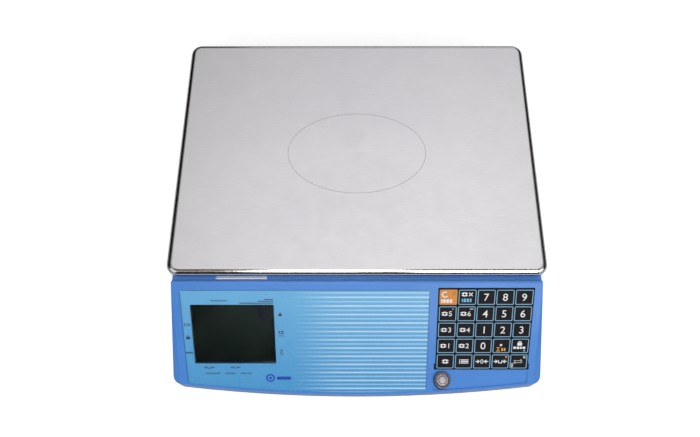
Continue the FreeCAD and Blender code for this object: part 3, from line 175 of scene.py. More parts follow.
class Shape:
    """A mesh put together from closed solids, each with its own material."""

    def __init__(self):
        self.vertices, self.faces, self.kinds = [], [], []

    def add(self, vertices, faces, kind=0):
        first = len(self.vertices)
        self.vertices += [tuple(v) for v in vertices]
        self.faces += [[first + i for i in face] for face in faces]
        self.kinds += [kind] * len(faces)

    def prism(self, plane, outline, thickness, kind=0):
        """A flat solid with that outline, its foot on the plane."""
        if area(outline) < 0:
            outline = outline[::-1]
        count = len(outline)
        low = [plane.at(x, y) for x, y in outline]
        high = [plane.at(x, y, thickness) for x, y in outline]
        faces = [list(range(count, 2 * count)), list(range(count))[::-1]]
        faces += [[i, (i + 1) % count, count + (i + 1) % count, count + i] for i in range(count)]
        self.add(low + high, faces, kind)

    def ring(self, plane, outer, inner, thickness, kind=0):
        """A flat ring between two outlines with as many points each."""
        if area(outer) < 0:
            outer, inner = outer[::-1], inner[::-1]
        if abs(area(outer)) < abs(area(inner)):
            outer, inner = inner, outer
        count = len(outer)
        points = [plane.at(x, y, z) for z in (0, thickness) for edge in (outer, inner) for x, y in edge]
        faces = []
        for i in range(count):
            j = (i + 1) % count
            a, b, c, d = i, count + i, 2 * count + i, 3 * count + i
            e, f, g, h = j, count + j, 2 * count + j, 3 * count + j
            faces += [[a, e, g, c], [f, b, d, h], [c, g, h, d], [e, a, b, f]]
        self.add(points, faces, kind)

    def lathe(self, plane, profile, kind=0, steps=CURVE_STEPS):
        """A turned solid about the plane's normal. The profile holds (radius, height) points, and
        starts and ends on the axis."""
        points = [plane.at(0, 0, profile[0][1])]
        rows = profile[1:-1]
        for radius, height in rows:
            for i in range(steps):
                a = 2 * math.pi * i / steps
                points.append(plane.at(radius * math.cos(a), radius * math.sin(a), height))
        points.append(plane.at(0, 0, profile[-1][1]))
        last = len(points) - 1
        faces = []
        for i in range(steps):
            j = (i + 1) % steps
            faces.append([0, 1 + j, 1 + i])
            for row in range(len(rows) - 1):
                a, b = 1 + row * steps, 1 + (row + 1) * steps
                faces.append([a + i, a + j, b + j, b + i])
            a = 1 + (len(rows) - 1) * steps
            faces.append([a + i, a + j, last])
        self.add(points, faces, kind)

    def turned_ring(self, plane, profile, kind=0, steps=CURVE_STEPS):
        """A turned ring about the plane's normal, from a closed profile of (radius, height)."""
        count = len(profile)
        points, faces = [], []
        for i in range(steps):
            a = 2 * math.pi * i / steps
            points += [plane.at(r * math.cos(a), r * math.sin(a), z) for r, z in profile]
            for k in range(count):
                j, n = (i + 1) % steps, (k + 1) % count
                faces.append([i * count + k, j * count + k, j * count + n, i * count + n])
        self.add(points, faces, kind)

    def text(self, plane, words, height, kind=0, weight=0.0):
        """Plain numerals or arithmetic signs, centred on the plane's origin, as thin solids."""
        curve = bpy.data.curves.new("numerals", "FONT")
        curve.body, curve.size = words, height / MM / CAP_HEIGHT
        curve.align_x, curve.align_y = "CENTER", "CENTER"
        curve.extrude, curve.offset, curve.resolution_u = 0.5, weight, 4
        holder = add_object("numerals", curve)
        graph = bpy.context.evaluated_depsgraph_get()
        mesh = bpy.data.meshes.new_from_object(holder.evaluated_get(graph))
        xs = [v.co.x for v in mesh.vertices]
        ys = [v.co.y for v in mesh.vertices]
        middle = (min(xs) + max(xs)) / 2, (min(ys) + max(ys)) / 2
        points = [
            plane.at((v.co.x - middle[0]) * MM, (v.co.y - middle[1]) * MM, (v.co.z + 0.5) * INK)
            for v in mesh.vertices
        ]
        self.add(points, [list(face.vertices) for face in mesh.polygons], kind)
        bpy.data.objects.remove(holder)
        bpy.data.curves.remove(curve)
        bpy.data.meshes.remove(mesh)

    def finish(self, name, body, materials, slot=None, smooth=False):
        """Makes the mesh a piece that rides on a body."""
        mesh = bpy.data.meshes.new(name)
        mesh.from_pydata(self.vertices, [], self.faces)
        mesh.polygons.foreach_set("material_index", self.kinds)
        mesh.update()
        for material in materials:
            mesh.materials.append(material)
        if smooth:
            mesh.shade_smooth()
            mesh.set_sharp_from_angle(angle=math.radians(35))
        piece = add_object(name, mesh)
        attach(piece, body)
        return piece


def area(outline):
    """Signed area, positive when the points run anticlockwise."""
    return sum(a[0] * b[1] - b[0] * a[1] for a, b in zip(outline, outline[1:] + outline[:1])) / 2


# ---------------------------------------------------------------- materials

def linear(red, green, blue):
    """A colour given in screen values from 0 to 255, as the shader wants it."""
    def channel(value):
        value /= 255
        return value / 12.92 if value <= 0.04045 else ((value + 0.055) / 1.055) ** 2.4
    return channel(red), channel(green), channel(blue), 1.0


class Finish:
    """A material under construction: the shader, and short names for the nodes that feed it."""

    def __init__(self, name, roughness=0.5, metallic=0.0, **sockets):
        self.material = bpy.data.materials.new(name)
        self.material.use_nodes = True
        self.tree = self.material.node_tree
        self.shader = self.tree.nodes["Principled BSDF"]
        self.set("Roughness", roughness)
        self.set("Metallic", metallic)
        for socket, value in sockets.items():
            self.set(socket.replace("_", " "), value)
        self.place = self.node("ShaderNodeTexCoord").outputs["Object"]

    def node(self, kind, **values):
        made = self.tree.nodes.new(kind)
        for name, value in values.items():
            setattr(made, name, value)
        return made

    def set(self, socket, value):
        self.shader.inputs[socket].default_value = value

    def link(self, output, socket):
        self.tree.links.new(output, self.shader.inputs[socket] if isinstance(socket, str) else socket)

    def stretched(self, x, y, z):
        """Places scaled along each axis, which draws a texture out along the small ones."""
        mapping = self.node("ShaderNodeMapping")
        mapping.inputs["Scale"].default_value = (x, y, z)
        self.link(self.place, mapping.inputs["Vector"])
        return mapping.outputs["Vector"]

    def noise(self, size, detail=3.0, roughness=0.5, place=None):
        """Noise with features about size metres across."""
        made = self.node("ShaderNodeTexNoise")
        made.inputs["Scale"].default_value = 1 / size
        made.inputs["Detail"].default_value = detail
        made.inputs["Roughness"].default_value = roughness
        self.link(place or self.place, made.inputs["Vector"])
        return made.outputs["Fac"]

    def dots(self, size):
        """Distance to scattered points about size metres apart."""
        made = self.node("ShaderNodeTexVoronoi")
        made.inputs["Scale"].default_value = 1 / size
        self.link(self.place, made.inputs["Vector"])
        return made.outputs["Distance"]

    def between(self, value, low, high, start=0.35, stop=0.65, smooth=False):
        """Carries a value from start to stop over to low to high."""
        made = self.node("ShaderNodeMapRange")
        if smooth:
            made.interpolation_type = "SMOOTHSTEP"
        made.inputs["From Min"].default_value = start
        made.inputs["From Max"].default_value = stop
        made.inputs["To Min"].default_value = low
        made.inputs["To Max"].default_value = high
        self.link(value, made.inputs["Value"])
        return made.outputs["Result"]

    def math(self, operation, first, second=None, third=None):
        made = self.node("ShaderNodeMath", operation=operation)
        for index, value in enumerate((first, second, third)):
            if value is None:
                continue
            if isinstance(value, (int, float)):
                made.inputs[index].default_value = value
            else:
                self.link(value, made.inputs[index])
        return made.outputs["Value"]

    def along(self, direction):
        """How far a place lies along a direction."""
        made = self.node("ShaderNodeVectorMath", operation="DOT_PRODUCT")
        made.inputs[1].default_value = direction
        self.link(self.place, made.inputs[0])
        return made.outputs["Value"]

    def mix(self, amount, first, second):
        """One colour or the other, by an amount from 0 to 1."""
        made = self.node("ShaderNodeMix", data_type="RGBA")
        for socket, value in (("Factor_Float", amount), ("A_Color", first), ("B_Color", second)):
            target = next(s for s in made.inputs if s.identifier == socket)
            if isinstance(value, (int, float, tuple)):
                target.default_value = value
            else:
                self.link(value, target)
        return next(s for s in made.outputs if s.identifier == "Result_Color")

    def bump(self, height, distance, strength=1.0, under=None):
        """Relief from a height between 0 and 1, that many metres deep."""
        made = self.node("ShaderNodeBump")
        made.inputs["Distance"].default_value = distance
        made.inputs["Strength"].default_value = strength
        self.link(height, made.inputs["Height"])
        if under:
            self.link(under, made.inputs["Normal"])
        self.link(made.outputs["Normal"], "Normal")
        return made.outputs["Normal"]


def shade(colour, amount):
    """A colour made lighter or darker."""
    return tuple(min(1.0, channel * amount) for channel in colour[:3]) + (1.0,)


def moulded_plastic(name, colour, grain, roughness=0.42, depth=0.02 * MM, **sockets):
    """Injection-moulded plastic: faint flow marks, spark-eroded grain, and rubbed patches."""
    finish = Finish(name, roughness, **sockets)
    flow = finish.noise(60 * MM, 2.0)
    speck = finish.noise(0.5 * MM, 2.0)
    tone = finish.mix(finish.between(flow, 0, 1), shade(colour, 0.95), shade(colour, 1.05))
    finish.link(finish.mix(finish.between(speck, 0, 0.35), tone, shade(colour, 0.9)), "Base Color")
    wear = finish.noise(22 * MM, 4.0, 0.65)
    finish.link(finish.between(wear, roughness - 0.06, roughness + 0.08), "Roughness")
    fine = finish.bump(finish.noise(grain, 2.0), depth, 0.5)
    finish.bump(finish.dots(grain * 2.3), depth * 0.5, 0.4, fine)
    return finish.material


def pan_steel():
    """Cold-rolled stainless sheet: hairlines along the pan, faint smears, and a polished rim."""
    finish = Finish("pan_steel", 0.38, 1.0, Anisotropic=0.25)
    low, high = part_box("weighing_pan")
    hairs = finish.noise(0.25 * MM, 3.0, 0.6, finish.stretched(0.02, 1.0, 1.0))
    smears = finish.noise(70 * MM, 3.0, 0.55)
    tone = finish.mix(finish.between(hairs, 0, 1), linear(226, 225, 228), linear(236, 235, 237))
    finish.link(finish.mix(finish.between(smears, 0, 0.3), tone, linear(224, 223, 227)), "Base Color")
    apart = finish.node("ShaderNodeSeparateXYZ")
    finish.link(finish.place, apart.inputs["Vector"])
    across = finish.math("ABSOLUTE", apart.outputs["X"])
    middle = (low.y + high.y) / 2
    back = finish.math("ABSOLUTE", finish.math("SUBTRACT", apart.outputs["Y"], middle))
    edge = finish.math(
        "MINIMUM",
        finish.math("SUBTRACT", high.x, across),
        finish.math("SUBTRACT", (high.y - low.y) / 2, back),
    )
    face = finish.between(edge, 0.13, 0.36, 4.2 * MM, 6.5 * MM, True)
    scuff = finish.between(finish.noise(18 * MM, 5.0, 0.7), -0.02, 0.03)
    finish.link(finish.math("ADD", face, scuff), "Roughness")
    finish.bump(hairs, 0.004 * MM, 0.25)
    return finish.material


def overlay_print():
    """The display's printed sheet: blue with fine pale stripes. Painted shade darkens the blue down the
    slope, and a thin band of painted shade runs along its top and side edges at the pocket's wall.
    """
    finish = Finish("overlay_print", 0.33)
    left, right = extent("display_overlay", ACROSS)
    top, bottom = extent("display_overlay", DOWN)
    # Painted shade: the blue is painted darker down the slope, where less light falls on the panel.
    down = finish.along(DOWN)
    slope = finish.between(down, 0, 1, top, bottom)
    blue = finish.mix(slope, linear(102, 174, 221), linear(70, 149, 205))
    mottle = finish.noise(3 * MM, 4.0, 0.6)
    blue = finish.mix(finish.between(mottle, 0, 0.12), blue, linear(130, 190, 235))
    fade = finish.between(finish.along(ACROSS), 0, 1, left + 94 * MM, left + 150 * MM, True)
    pitch, first = 8.5 * MM, top + 6.9 * MM

    def stripe(start, thickness):
        turn = finish.math("WRAP", finish.math("SUBTRACT", down, start), pitch / 2, -pitch / 2)
        away = finish.math("ABSOLUTE", turn)
        return finish.between(away, 1, 0, thickness * 0.35, thickness * 0.75, True)

    bright = finish.math("MULTIPLY", stripe(first, 1.5 * MM), fade)
    between = finish.math("MULTIPLY", stripe(first - pitch / 2, 1.4 * MM), fade)
    dim = finish.math("MULTIPLY", between, 0.6)
    lines = finish.math("MAXIMUM", bright, dim)
    striped = finish.mix(finish.math("MULTIPLY", lines, 0.75), blue, linear(200, 230, 250))
    across = finish.along(ACROSS)
    from_left, from_right = finish.math("SUBTRACT", across, left), finish.math("SUBTRACT", right, across)
    sides = finish.math("MINIMUM", from_left, from_right)
    inside = finish.math("MINIMUM", sides, finish.math("SUBTRACT", down, top))
    # Painted shade: a thin darker band along the sheet's top and side edges, where it meets the wall of its
    # pocket.
    pocket_edge_shade = finish.between(inside, 1, 0, 0.2 * MM, 0.75 * MM)
    finish.link(finish.mix(pocket_edge_shade, striped, linear(58, 92, 150)), "Base Color")
    finish.link(finish.between(finish.noise(15 * MM, 3.0), 0.28, 0.38), "Roughness")
    finish.bump(finish.noise(0.35 * MM, 2.0), 0.012 * MM, 0.4)
    return finish.material


def clear_plastic():
    """The clear window over the liquid crystal display, with a fine anti-glare surface."""
    finish = Finish("clear_window", 0.08, Transmission_Weight=1.0, IOR=1.12)
    finish.set("Base Color", (0.86, 0.93, 0.9, 1))
    finish.link(finish.between(finish.noise(12 * MM, 4.0, 0.6), 0.05, 0.14), "Roughness")
    finish.bump(finish.noise(9 * MM, 1.0), 0.01 * MM, 0.2)
    return finish.material


def liquid_crystal(name, dark, light):
    """Liquid crystal glass: almost black, with a slow drift in tone from edge to edge."""
    finish = Finish(name, 0.2)
    drift = finish.noise(55 * MM, 2.0)
    fine = finish.noise(0.8 * MM, 2.0)
    tone = finish.mix(finish.between(drift, 0, 1, 0.3, 0.7), dark, light)
    finish.link(finish.mix(finish.between(fine, 0, 0.2), tone, shade(light, 1.3)), "Base Color")
    finish.link(finish.between(drift, 0.16, 0.26), "Roughness")
    return finish.material


def printed_ink(name, colour, roughness=0.55):
    """Screen-printed ink: slightly uneven cover with a fine woven edge from the screen."""
    finish = Finish(name, roughness)
    cover = finish.noise(0.6 * MM, 3.0)
    tone = finish.mix(finish.between(cover, 0, 1), shade(colour, 0.92), shade(colour, 1.06))
    finish.link(tone, "Base Color")
    finish.bump(cover, 0.01 * MM, 0.3)
    return finish.material


def circuit_board():
    """Green solder mask with copper tracks showing faintly under it."""
    finish = Finish("circuit_board", 0.35)
    tracks = finish.node("ShaderNodeTexBrick")
    tracks.inputs["Scale"].default_value = 1 / (12 * MM)
    tracks.inputs["Mortar Size"].default_value = 0.03
    tracks.inputs["Color1"].default_value = linear(20, 92, 48)
    tracks.inputs["Color2"].default_value = linear(24, 104, 54)
    tracks.inputs["Mortar"].default_value = linear(60, 140, 70)
    finish.link(finish.place, tracks.inputs["Vector"])
    spots = finish.between(finish.dots(4 * MM), 1, 0, 0.08, 0.12)
    finish.link(finish.mix(spots, tracks.outputs["Color"], linear(200, 196, 180)), "Base Color")
    finish.bump(finish.noise(1.2 * MM, 2.0), 0.03 * MM, 0.4)
    return finish.material


def worked_metal(name, colour, roughness, cast=False, bright=0.0):
    """Machined, plated or cast metal."""
    finish = Finish(name, roughness, 1.0)
    if cast:
        relief = finish.noise(1.1 * MM, 4.0, 0.65)
        depth = 0.12 * MM
    else:
        relief = finish.noise(0.4 * MM, 2.0, 0.6, finish.stretched(0.1, 1.0, 1.0))
        depth = 0.02 * MM
    drift = finish.noise(14 * MM, 4.0, 0.6)
    tone = finish.mix(finish.between(drift, 0, 1), shade(colour, 0.86), shade(colour, 1.05))
    finish.link(finish.mix(finish.between(relief, 0, bright), tone, linear(214, 196, 130)), "Base Color")
    finish.link(finish.between(drift, roughness - 0.08, roughness + 0.1), "Roughness")
    finish.bump(relief, depth, 0.5)
    return finish.material


def moulded_rubber():
    """Black rubber with dust in its pores."""
    finish = Finish("moulded_rubber", 0.75, Sheen_Weight=0.15)
    dust = finish.noise(5 * MM, 5.0, 0.7)
    dusty = finish.between(dust, 0, 0.6, 0.45, 0.75)
    finish.link(finish.mix(dusty, linear(24, 24, 25), linear(62, 61, 60)), "Base Color")
    finish.link(finish.between(dust, 0.68, 0.9), "Roughness")
    finish.bump(finish.noise(0.35 * MM, 3.0), 0.05 * MM, 0.6)
    return finish.material


def vial_plastic(name, dark, light, roughness=0.35):
    """Grey plastic of the bubble level."""
    finish = Finish(name, roughness, Coat_Weight=0.5)
    cloud = finish.noise(2.2 * MM, 3.0, 0.6)
    finish.link(finish.mix(finish.between(cloud, 0, 1), dark, light), "Base Color")
    finish.link(finish.between(cloud, roughness - 0.08, roughness + 0.1), "Roughness")
    finish.bump(finish.noise(0.3 * MM, 2.0), 0.01 * MM, 0.4)
    return finish.material


casing_blue = moulded_plastic("casing_blue", linear(72, 136, 216), 0.7 * MM, 0.36, Coat_Weight=0.2,
                              Coat_Roughness=0.1)
keypad_black = moulded_plastic("keypad_black", linear(15, 14, 22), 0.4 * MM, 0.55,
                               Specular_IOR_Level=0.2)
key_black = moulded_plastic("key_black", linear(12, 11, 18), 0.35 * MM, 0.55, Specular_IOR_Level=0.2)
key_orange = moulded_plastic("key_orange", linear(212, 138, 52), 0.35 * MM, 0.42)
switch_black = moulded_plastic("switch_black", linear(26, 26, 28), 0.5 * MM, 0.4)
smoked = moulded_plastic("smoked_window", linear(14, 15, 19), 1.5 * MM, 0.12, 0.002 * MM)
steel = pan_steel()
overlay = overlay_print()
clear = clear_plastic()
crystal = liquid_crystal("lcd_glass", linear(12, 20, 20), linear(22, 33, 32))
segment = liquid_crystal("lcd_segment", linear(16, 8, 44), linear(24, 14, 58))
segment_rear = liquid_crystal("lcd_segment_rear", linear(60, 70, 66), linear(76, 88, 82))
board = circuit_board()
cast = worked_metal("cast_aluminium", linear(196, 198, 200), 0.5, cast=True)
machined = worked_metal("machined_aluminium", linear(214, 215, 217), 0.3)
zinc = worked_metal("zinc_steel", linear(196, 197, 200), 0.34, bright=0.3)
brass = worked_metal("contact_brass", linear(214, 190, 120), 0.3)
rubber = moulded_rubber()
level_grey = vial_plastic("level_grey", linear(66, 68, 78), linear(96, 94, 104))
level_light = vial_plastic("level_light", linear(150, 142, 152), linear(190, 184, 190), 0.3)
level_bubble = vial_plastic("level_bubble", linear(186, 178, 186), linear(206, 198, 204), 0.25)
level_line = vial_plastic("level_line", linear(70, 66, 76), linear(96, 90, 100), 0.4)
battery_dark = moulded_plastic("battery_wrap", linear(46, 47, 52), 0.9 * MM, 0.55)
ink_dark = printed_ink("ink_dark", linear(38, 52, 84))
ink_deep = printed_ink("ink_deep_blue", linear(12, 62, 176))
ink_white = printed_ink("ink_white", linear(232, 232, 234))
ink_grey = printed_ink("ink_grey", linear(176, 176, 180))
ink_pale = printed_ink("ink_pale_blue", linear(128, 176, 208))
ink_sky = printed_ink("ink_sky", linear(112, 178, 214))
ink_orange = printed_ink("ink_orange", linear(222, 158, 70))
ink_brown = printed_ink("ink_brown", linear(146, 96, 52))
paper = printed_ink("seal_paper", linear(255, 255, 255), 0.7)
scribed = printed_ink("scribed_line", linear(132, 130, 136), 0.5)

LOOKS = {name: look for look, names in (
    (casing_blue, ("top_cover", "base_cover", "battery_door")),
    (overlay, ("display_overlay",)),
    (clear, ("display_window",)),
    (crystal, ("lcd_front", "lcd_rear")),
    (smoked, ("rear_display_window",)),
    (board, ("lcd_front_board", "keypad_circuit", "main_board", "power_supply")),
    (keypad_black, ("keypad_frame",)),
    (key_orange, ("key_clear",)),
    (steel, ("weighing_pan",)),
    (cast, ("pan_support_frame",)),
    (rubber, ("pan_pads",)),
    (machined, ("load_cell",)),
    (battery_dark, ("battery",)),
    (level_grey, ("bubble_level",)),
    (switch_black, ("switch_housing", "power_rocker", "power_inlet")),
) for name in names}


def look_of(name):
    """The material of a CAD node, by its name or by what kind of node it is."""
    if name in LOOKS:
        return LOOKS[name]
    if name.startswith("key_"):
        return key_black
    return rubber if name.startswith("foot_pad") else zinc


def dress_nodes():
    for name, node in nodes.items():
        node.data.materials.clear()
        node.data.materials.append(look_of(name))


def brass_blades():
    """The inlet's blades are metal: the faces well inside its mouth."""
    node = nodes["power_inlet"]
    low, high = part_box("power_inlet")
    node.data.materials.append(brass)
    half_width, half_height = 8.2 * MM, 5.2 * MM
    front, back = low.y + 6.5 * MM, high.y - 2.0 * MM
    middle = (low + high) / 2
    for face in node.data.polygons:
        spot = face.center
        within = abs(spot.x - middle.x) < half_width and abs(spot.z - middle.z) < half_height
        if within and front < spot.y < back:
            face.material_index = 1


# ---------------------------------------------------------------- symbols

def memory_mark(shape, plane, x, y, size, kind=0):
    """A chip: a square with short legs, which stands for a stored price."""
    x, y, s = x * MM, y * MM, size * MM
    outer, inner = rounded(x, y, s, s, s * 0.12, 2), rounded(x, y, s * 0.48, s * 0.48, s * 0.06, 2)
    shape.ring(plane, outer, inner, INK, kind)
    for side in (-1, 1):
        for step in (-0.25, 0.25):
            shape.prism(plane, bar(x + side * s * 0.62, y + step * s, s * 0.26, s * 0.16), INK, kind)


def arrow(shape, plane, x, y, length, size, way, kind=0):
    """A short arrow pointing right (way 1) or left (way -1)."""
    x, y, length, size = x * MM, y * MM, length * MM, size * MM
    shape.prism(plane, bar(x - way * size * 0.2, y, length, size * 0.26), INK, kind)
    tip = x + way * length / 2
    tail = tip - way * size * 0.55
    head = [(tail, y + size * 0.5), (tip, y), (tail, y - size * 0.5)]
    shape.prism(plane, stroke(head, size * 0.28), INK, kind)


def cross_mark(shape, plane, x, y, size, width, kind=0):
    """A cross of two strokes."""
    x, y, a, w = x * MM, y * MM, size * MM / 2, width * MM
    shape.prism(plane, stroke([(x - a, y - a), (x + a, y + a)], w), INK, kind)
    shape.prism(plane, stroke([(x - a, y + a), (x + a, y - a)], w), INK, kind)


def tray_mark(shape, plane, x, y, size, kind=0):
    """An open tray, which stands for the empty container's weight."""
    s = size * MM
    tray = [(-0.5, 0.42), (-0.36, -0.42), (0.36, -0.42), (0.5, 0.42)]
    shape.prism(plane, stroke(scaled(tray, x * MM, y * MM, s), s * 0.22), INK, kind)


def lock_mark(shape, plane, x, y, size, kind=0):
    """A closed padlock, which stands for a held price."""
    s = size * MM
    shape.prism(plane, rounded(x * MM, y * MM - s * 0.18, s * 0.86, s * 0.6, s * 0.08, 2), INK, kind)
    bow = arc(x * MM, y * MM + s * 0.12, s * 0.26, 0, 180, 10)
    shape.prism(plane, stroke(bow, s * 0.15), INK, kind)


def sum_mark(shape, plane, x, y, size, kind=0):
    """The sign for a sum."""
    s = size * MM
    points = [(0.4, 0.5), (-0.4, 0.5), (0.1, 0.0), (-0.4, -0.5), (0.4, -0.5)]
    shape.prism(plane, stroke(scaled(points, x * MM, y * MM, s), s * 0.17), INK, kind)


def weight_mark(shape, plane, x, y, size, kind=0):
    """A weight with a ring handle."""
    s = size * MM
    body = [(-0.5, -0.5), (0.5, -0.5), (0.36, 0.18), (-0.36, 0.18)]
    shape.prism(plane, scaled(body, x * MM, y * MM, s), INK, kind)
    ring = disc(x * MM, y * MM + s * 0.32, s * 0.2, 14), disc(x * MM, y * MM + s * 0.32, s * 0.1, 14)
    shape.ring(plane, *ring, INK, kind)


def tag_mark(shape, plane, x, y, size, kind=0):
    """A price tag with its hole."""
    s = size * MM
    body = [(-0.55, 0.0), (-0.25, 0.36), (0.55, 0.36), (0.55, -0.36), (-0.25, -0.36)]
    outer = scaled(body, x * MM, y * MM, s)
    inner = scaled(body, x * MM, y * MM, s * 0.55)
    shape.ring(plane, outer, inner, INK, kind)


def bars(shape, plane, x, y, widths, height, gap, kind=0):
    """A row of short bars, centred, in millimetres."""
    total = sum(widths) + gap * (len(widths) - 1)
    left = x - total / 2
    for width in widths:
        shape.prism(plane, bar((left + width / 2) * MM, y * MM, width * MM, height * MM), INK, kind)
        left += width + gap


# ---------------------------------------------------------------- keys

WHITE, OUTLINE, SKY, AMBER, GREY, BROWN = range(6)
KEY_INKS = [ink_white, ink_pale, ink_sky, ink_orange, ink_grey, ink_brown]


def numeral(shape, plane, digit):
    shape.text(plane, digit, 6.9 * MM, WHITE, 0.028)


def memory_key(shape, plane, digit):
    memory_mark(shape, plane, -2.6, 0, 3.9)
    shape.text(plane.moved(2.5 * MM, 0), digit, 4.8 * MM, WHITE, 0.03)


def clear_key(shape, plane):
    turn = arc(-3.1 * MM, 2.6 * MM, 2.5 * MM, 55, 330, 20)
    shape.prism(plane, stroke(turn, 1.15 * MM), INK, WHITE)
    bars(shape, plane, -1.4, -3.7, [1.1, 2.2, 2.2, 2.2], 3.4, 0.7)
    power = arc(5.2 * MM, 3.7 * MM, 1.35 * MM, 120, 420, 14)
    shape.prism(plane, stroke(power, 0.45 * MM), INK, BROWN)
    shape.prism(plane, bar(5.2 * MM, 4.9 * MM, 0.5 * MM, 1.9 * MM), INK, BROWN)


def memory_clear_key(shape, plane):
    memory_mark(shape, plane, -2.6, 2.8, 3.8)
    cross_mark(shape, plane, 2.9, 2.8, 3.3, 0.9)
    bars(shape, plane, -0.6, -3.0, [1.0, 2.0, 2.0, 1.6], 3.4, 0.7, SKY)


def point_key(shape, plane):
    shape.prism(plane, disc(-0.5 * MM, 0.8 * MM, 1.1 * MM), INK, WHITE)
    sum_mark(shape, plane, -2.6, -3.6, 3.6, AMBER)
    bars(shape, plane, 2.0, -3.7, [1.5, 1.5], 3.0, 0.8, AMBER)


def fix_price_key(shape, plane):
    lock_mark(shape, plane, -0.4, 2.6, 5.0)
    bars(shape, plane, -0.5, -2.0, [2.4, 2.4, 1.6, 2.4], 2.3, 0.7)
    shape.prism(plane, disc(4.2 * MM, -5.0 * MM, 0.9 * MM), INK, SKY)


def memory_store_key(shape, plane):
    memory_mark(shape, plane, 0, 0, 4.2)


def item_code_key(shape, plane):
    for row in (1.6, 0, -1.6):
        shape.prism(plane, bar(-3.6 * MM, row * MM, 1.0 * MM, 1.0 * MM), INK, WHITE)
        shape.prism(plane, bar(1.0 * MM, row * MM, 6.8 * MM, 0.9 * MM), INK, WHITE)


def zero_set_key(shape, plane):
    arrow(shape, plane, -3.9, 0, 2.9, 3.1, 1)
    shape.text(plane, "0", 4.4 * MM, WHITE, 0.02)
    arrow(shape, plane, 3.9, 0, 2.9, 3.1, -1)


def tare_key(shape, plane):
    arrow(shape, plane, -4.1, 0, 2.7, 3.1, 1)
    tray_mark(shape, plane, 0, 0, 3.6)
    arrow(shape, plane, 4.1, 0, 2.7, 3.1, -1)
    flag = [(-0.5, 0.45), (0.5, 0.45), (0.0, -0.5)]
    shape.prism(plane, scaled(flag, 5.1 * MM, 4.3 * MM, 2.4 * MM), INK, AMBER)


def change_key(shape, plane):
    arrow(shape, plane, -0.6, 0.9, 7.4, 2.5, 1, GREY)
    arrow(shape, plane, -0.6, -1.2, 7.4, 2.5, -1, GREY)
    cross_mark(shape, plane, 5.0, 4.4, 2.3, 0.5)
    shape.prism(plane, bar(-5.8 * MM, -4.2 * MM, 1.9 * MM, 3.8 * MM), INK, GREY)
    shape.prism(plane, bar(-5.8 * MM, -1.9 * MM, 0.9 * MM, 0.9 * MM), INK, GREY)


LEGENDS = {
    "key_clear": clear_key,
    "key_memory_clear": memory_clear_key,
    "key_point": point_key,
    "key_fix_price": fix_price_key,
    "key_memory": memory_store_key,
    "key_item_code": item_code_key,
    "key_zero_set": zero_set_key,
    "key_tare": tare_key,
    "key_change": change_key,
}


def print_keys():
    """Each key's pale outline and white legend, as one piece that rides on the key."""
    for name in sorted(node for node in nodes if node.startswith("key_")):
        plane = panel_plane(name)
        shape = Shape()
        line, inset = 0.72 * MM, 0.1 * MM
        width, length = span(name, ACROSS) - 2 * inset, span(name, DOWN) - 2 * inset
        if name != "key_clear":
            outer = rounded(0, 0, width, length, 1.3 * MM, 6)
            inner = rounded(0, 0, width - 2 * line, length - 2 * line, 0.6 * MM, 6)
            shape.ring(plane, outer, inner, INK, OUTLINE)
        last = name.rsplit("_", 1)[1]
        if name in LEGENDS:
            LEGENDS[name](shape, plane)
        elif name.startswith("key_memory_"):
            memory_key(shape, plane, last)
        else:
            numeral(shape, plane, last)
        if name == "key_memory_5":
            shape.text(plane.moved(4.6 * MM, 4.6 * MM), "+", 2.2 * MM, GREY, 0.06)
        if name == "key_memory_6":
            shape.prism(plane, bar(4.4 * MM, 4.7 * MM, 3.3 * MM, 1.1 * MM), INK, GREY)
        shape.finish(name + "_print", name, KEY_INKS)


# ---------------------------------------------------------------- display

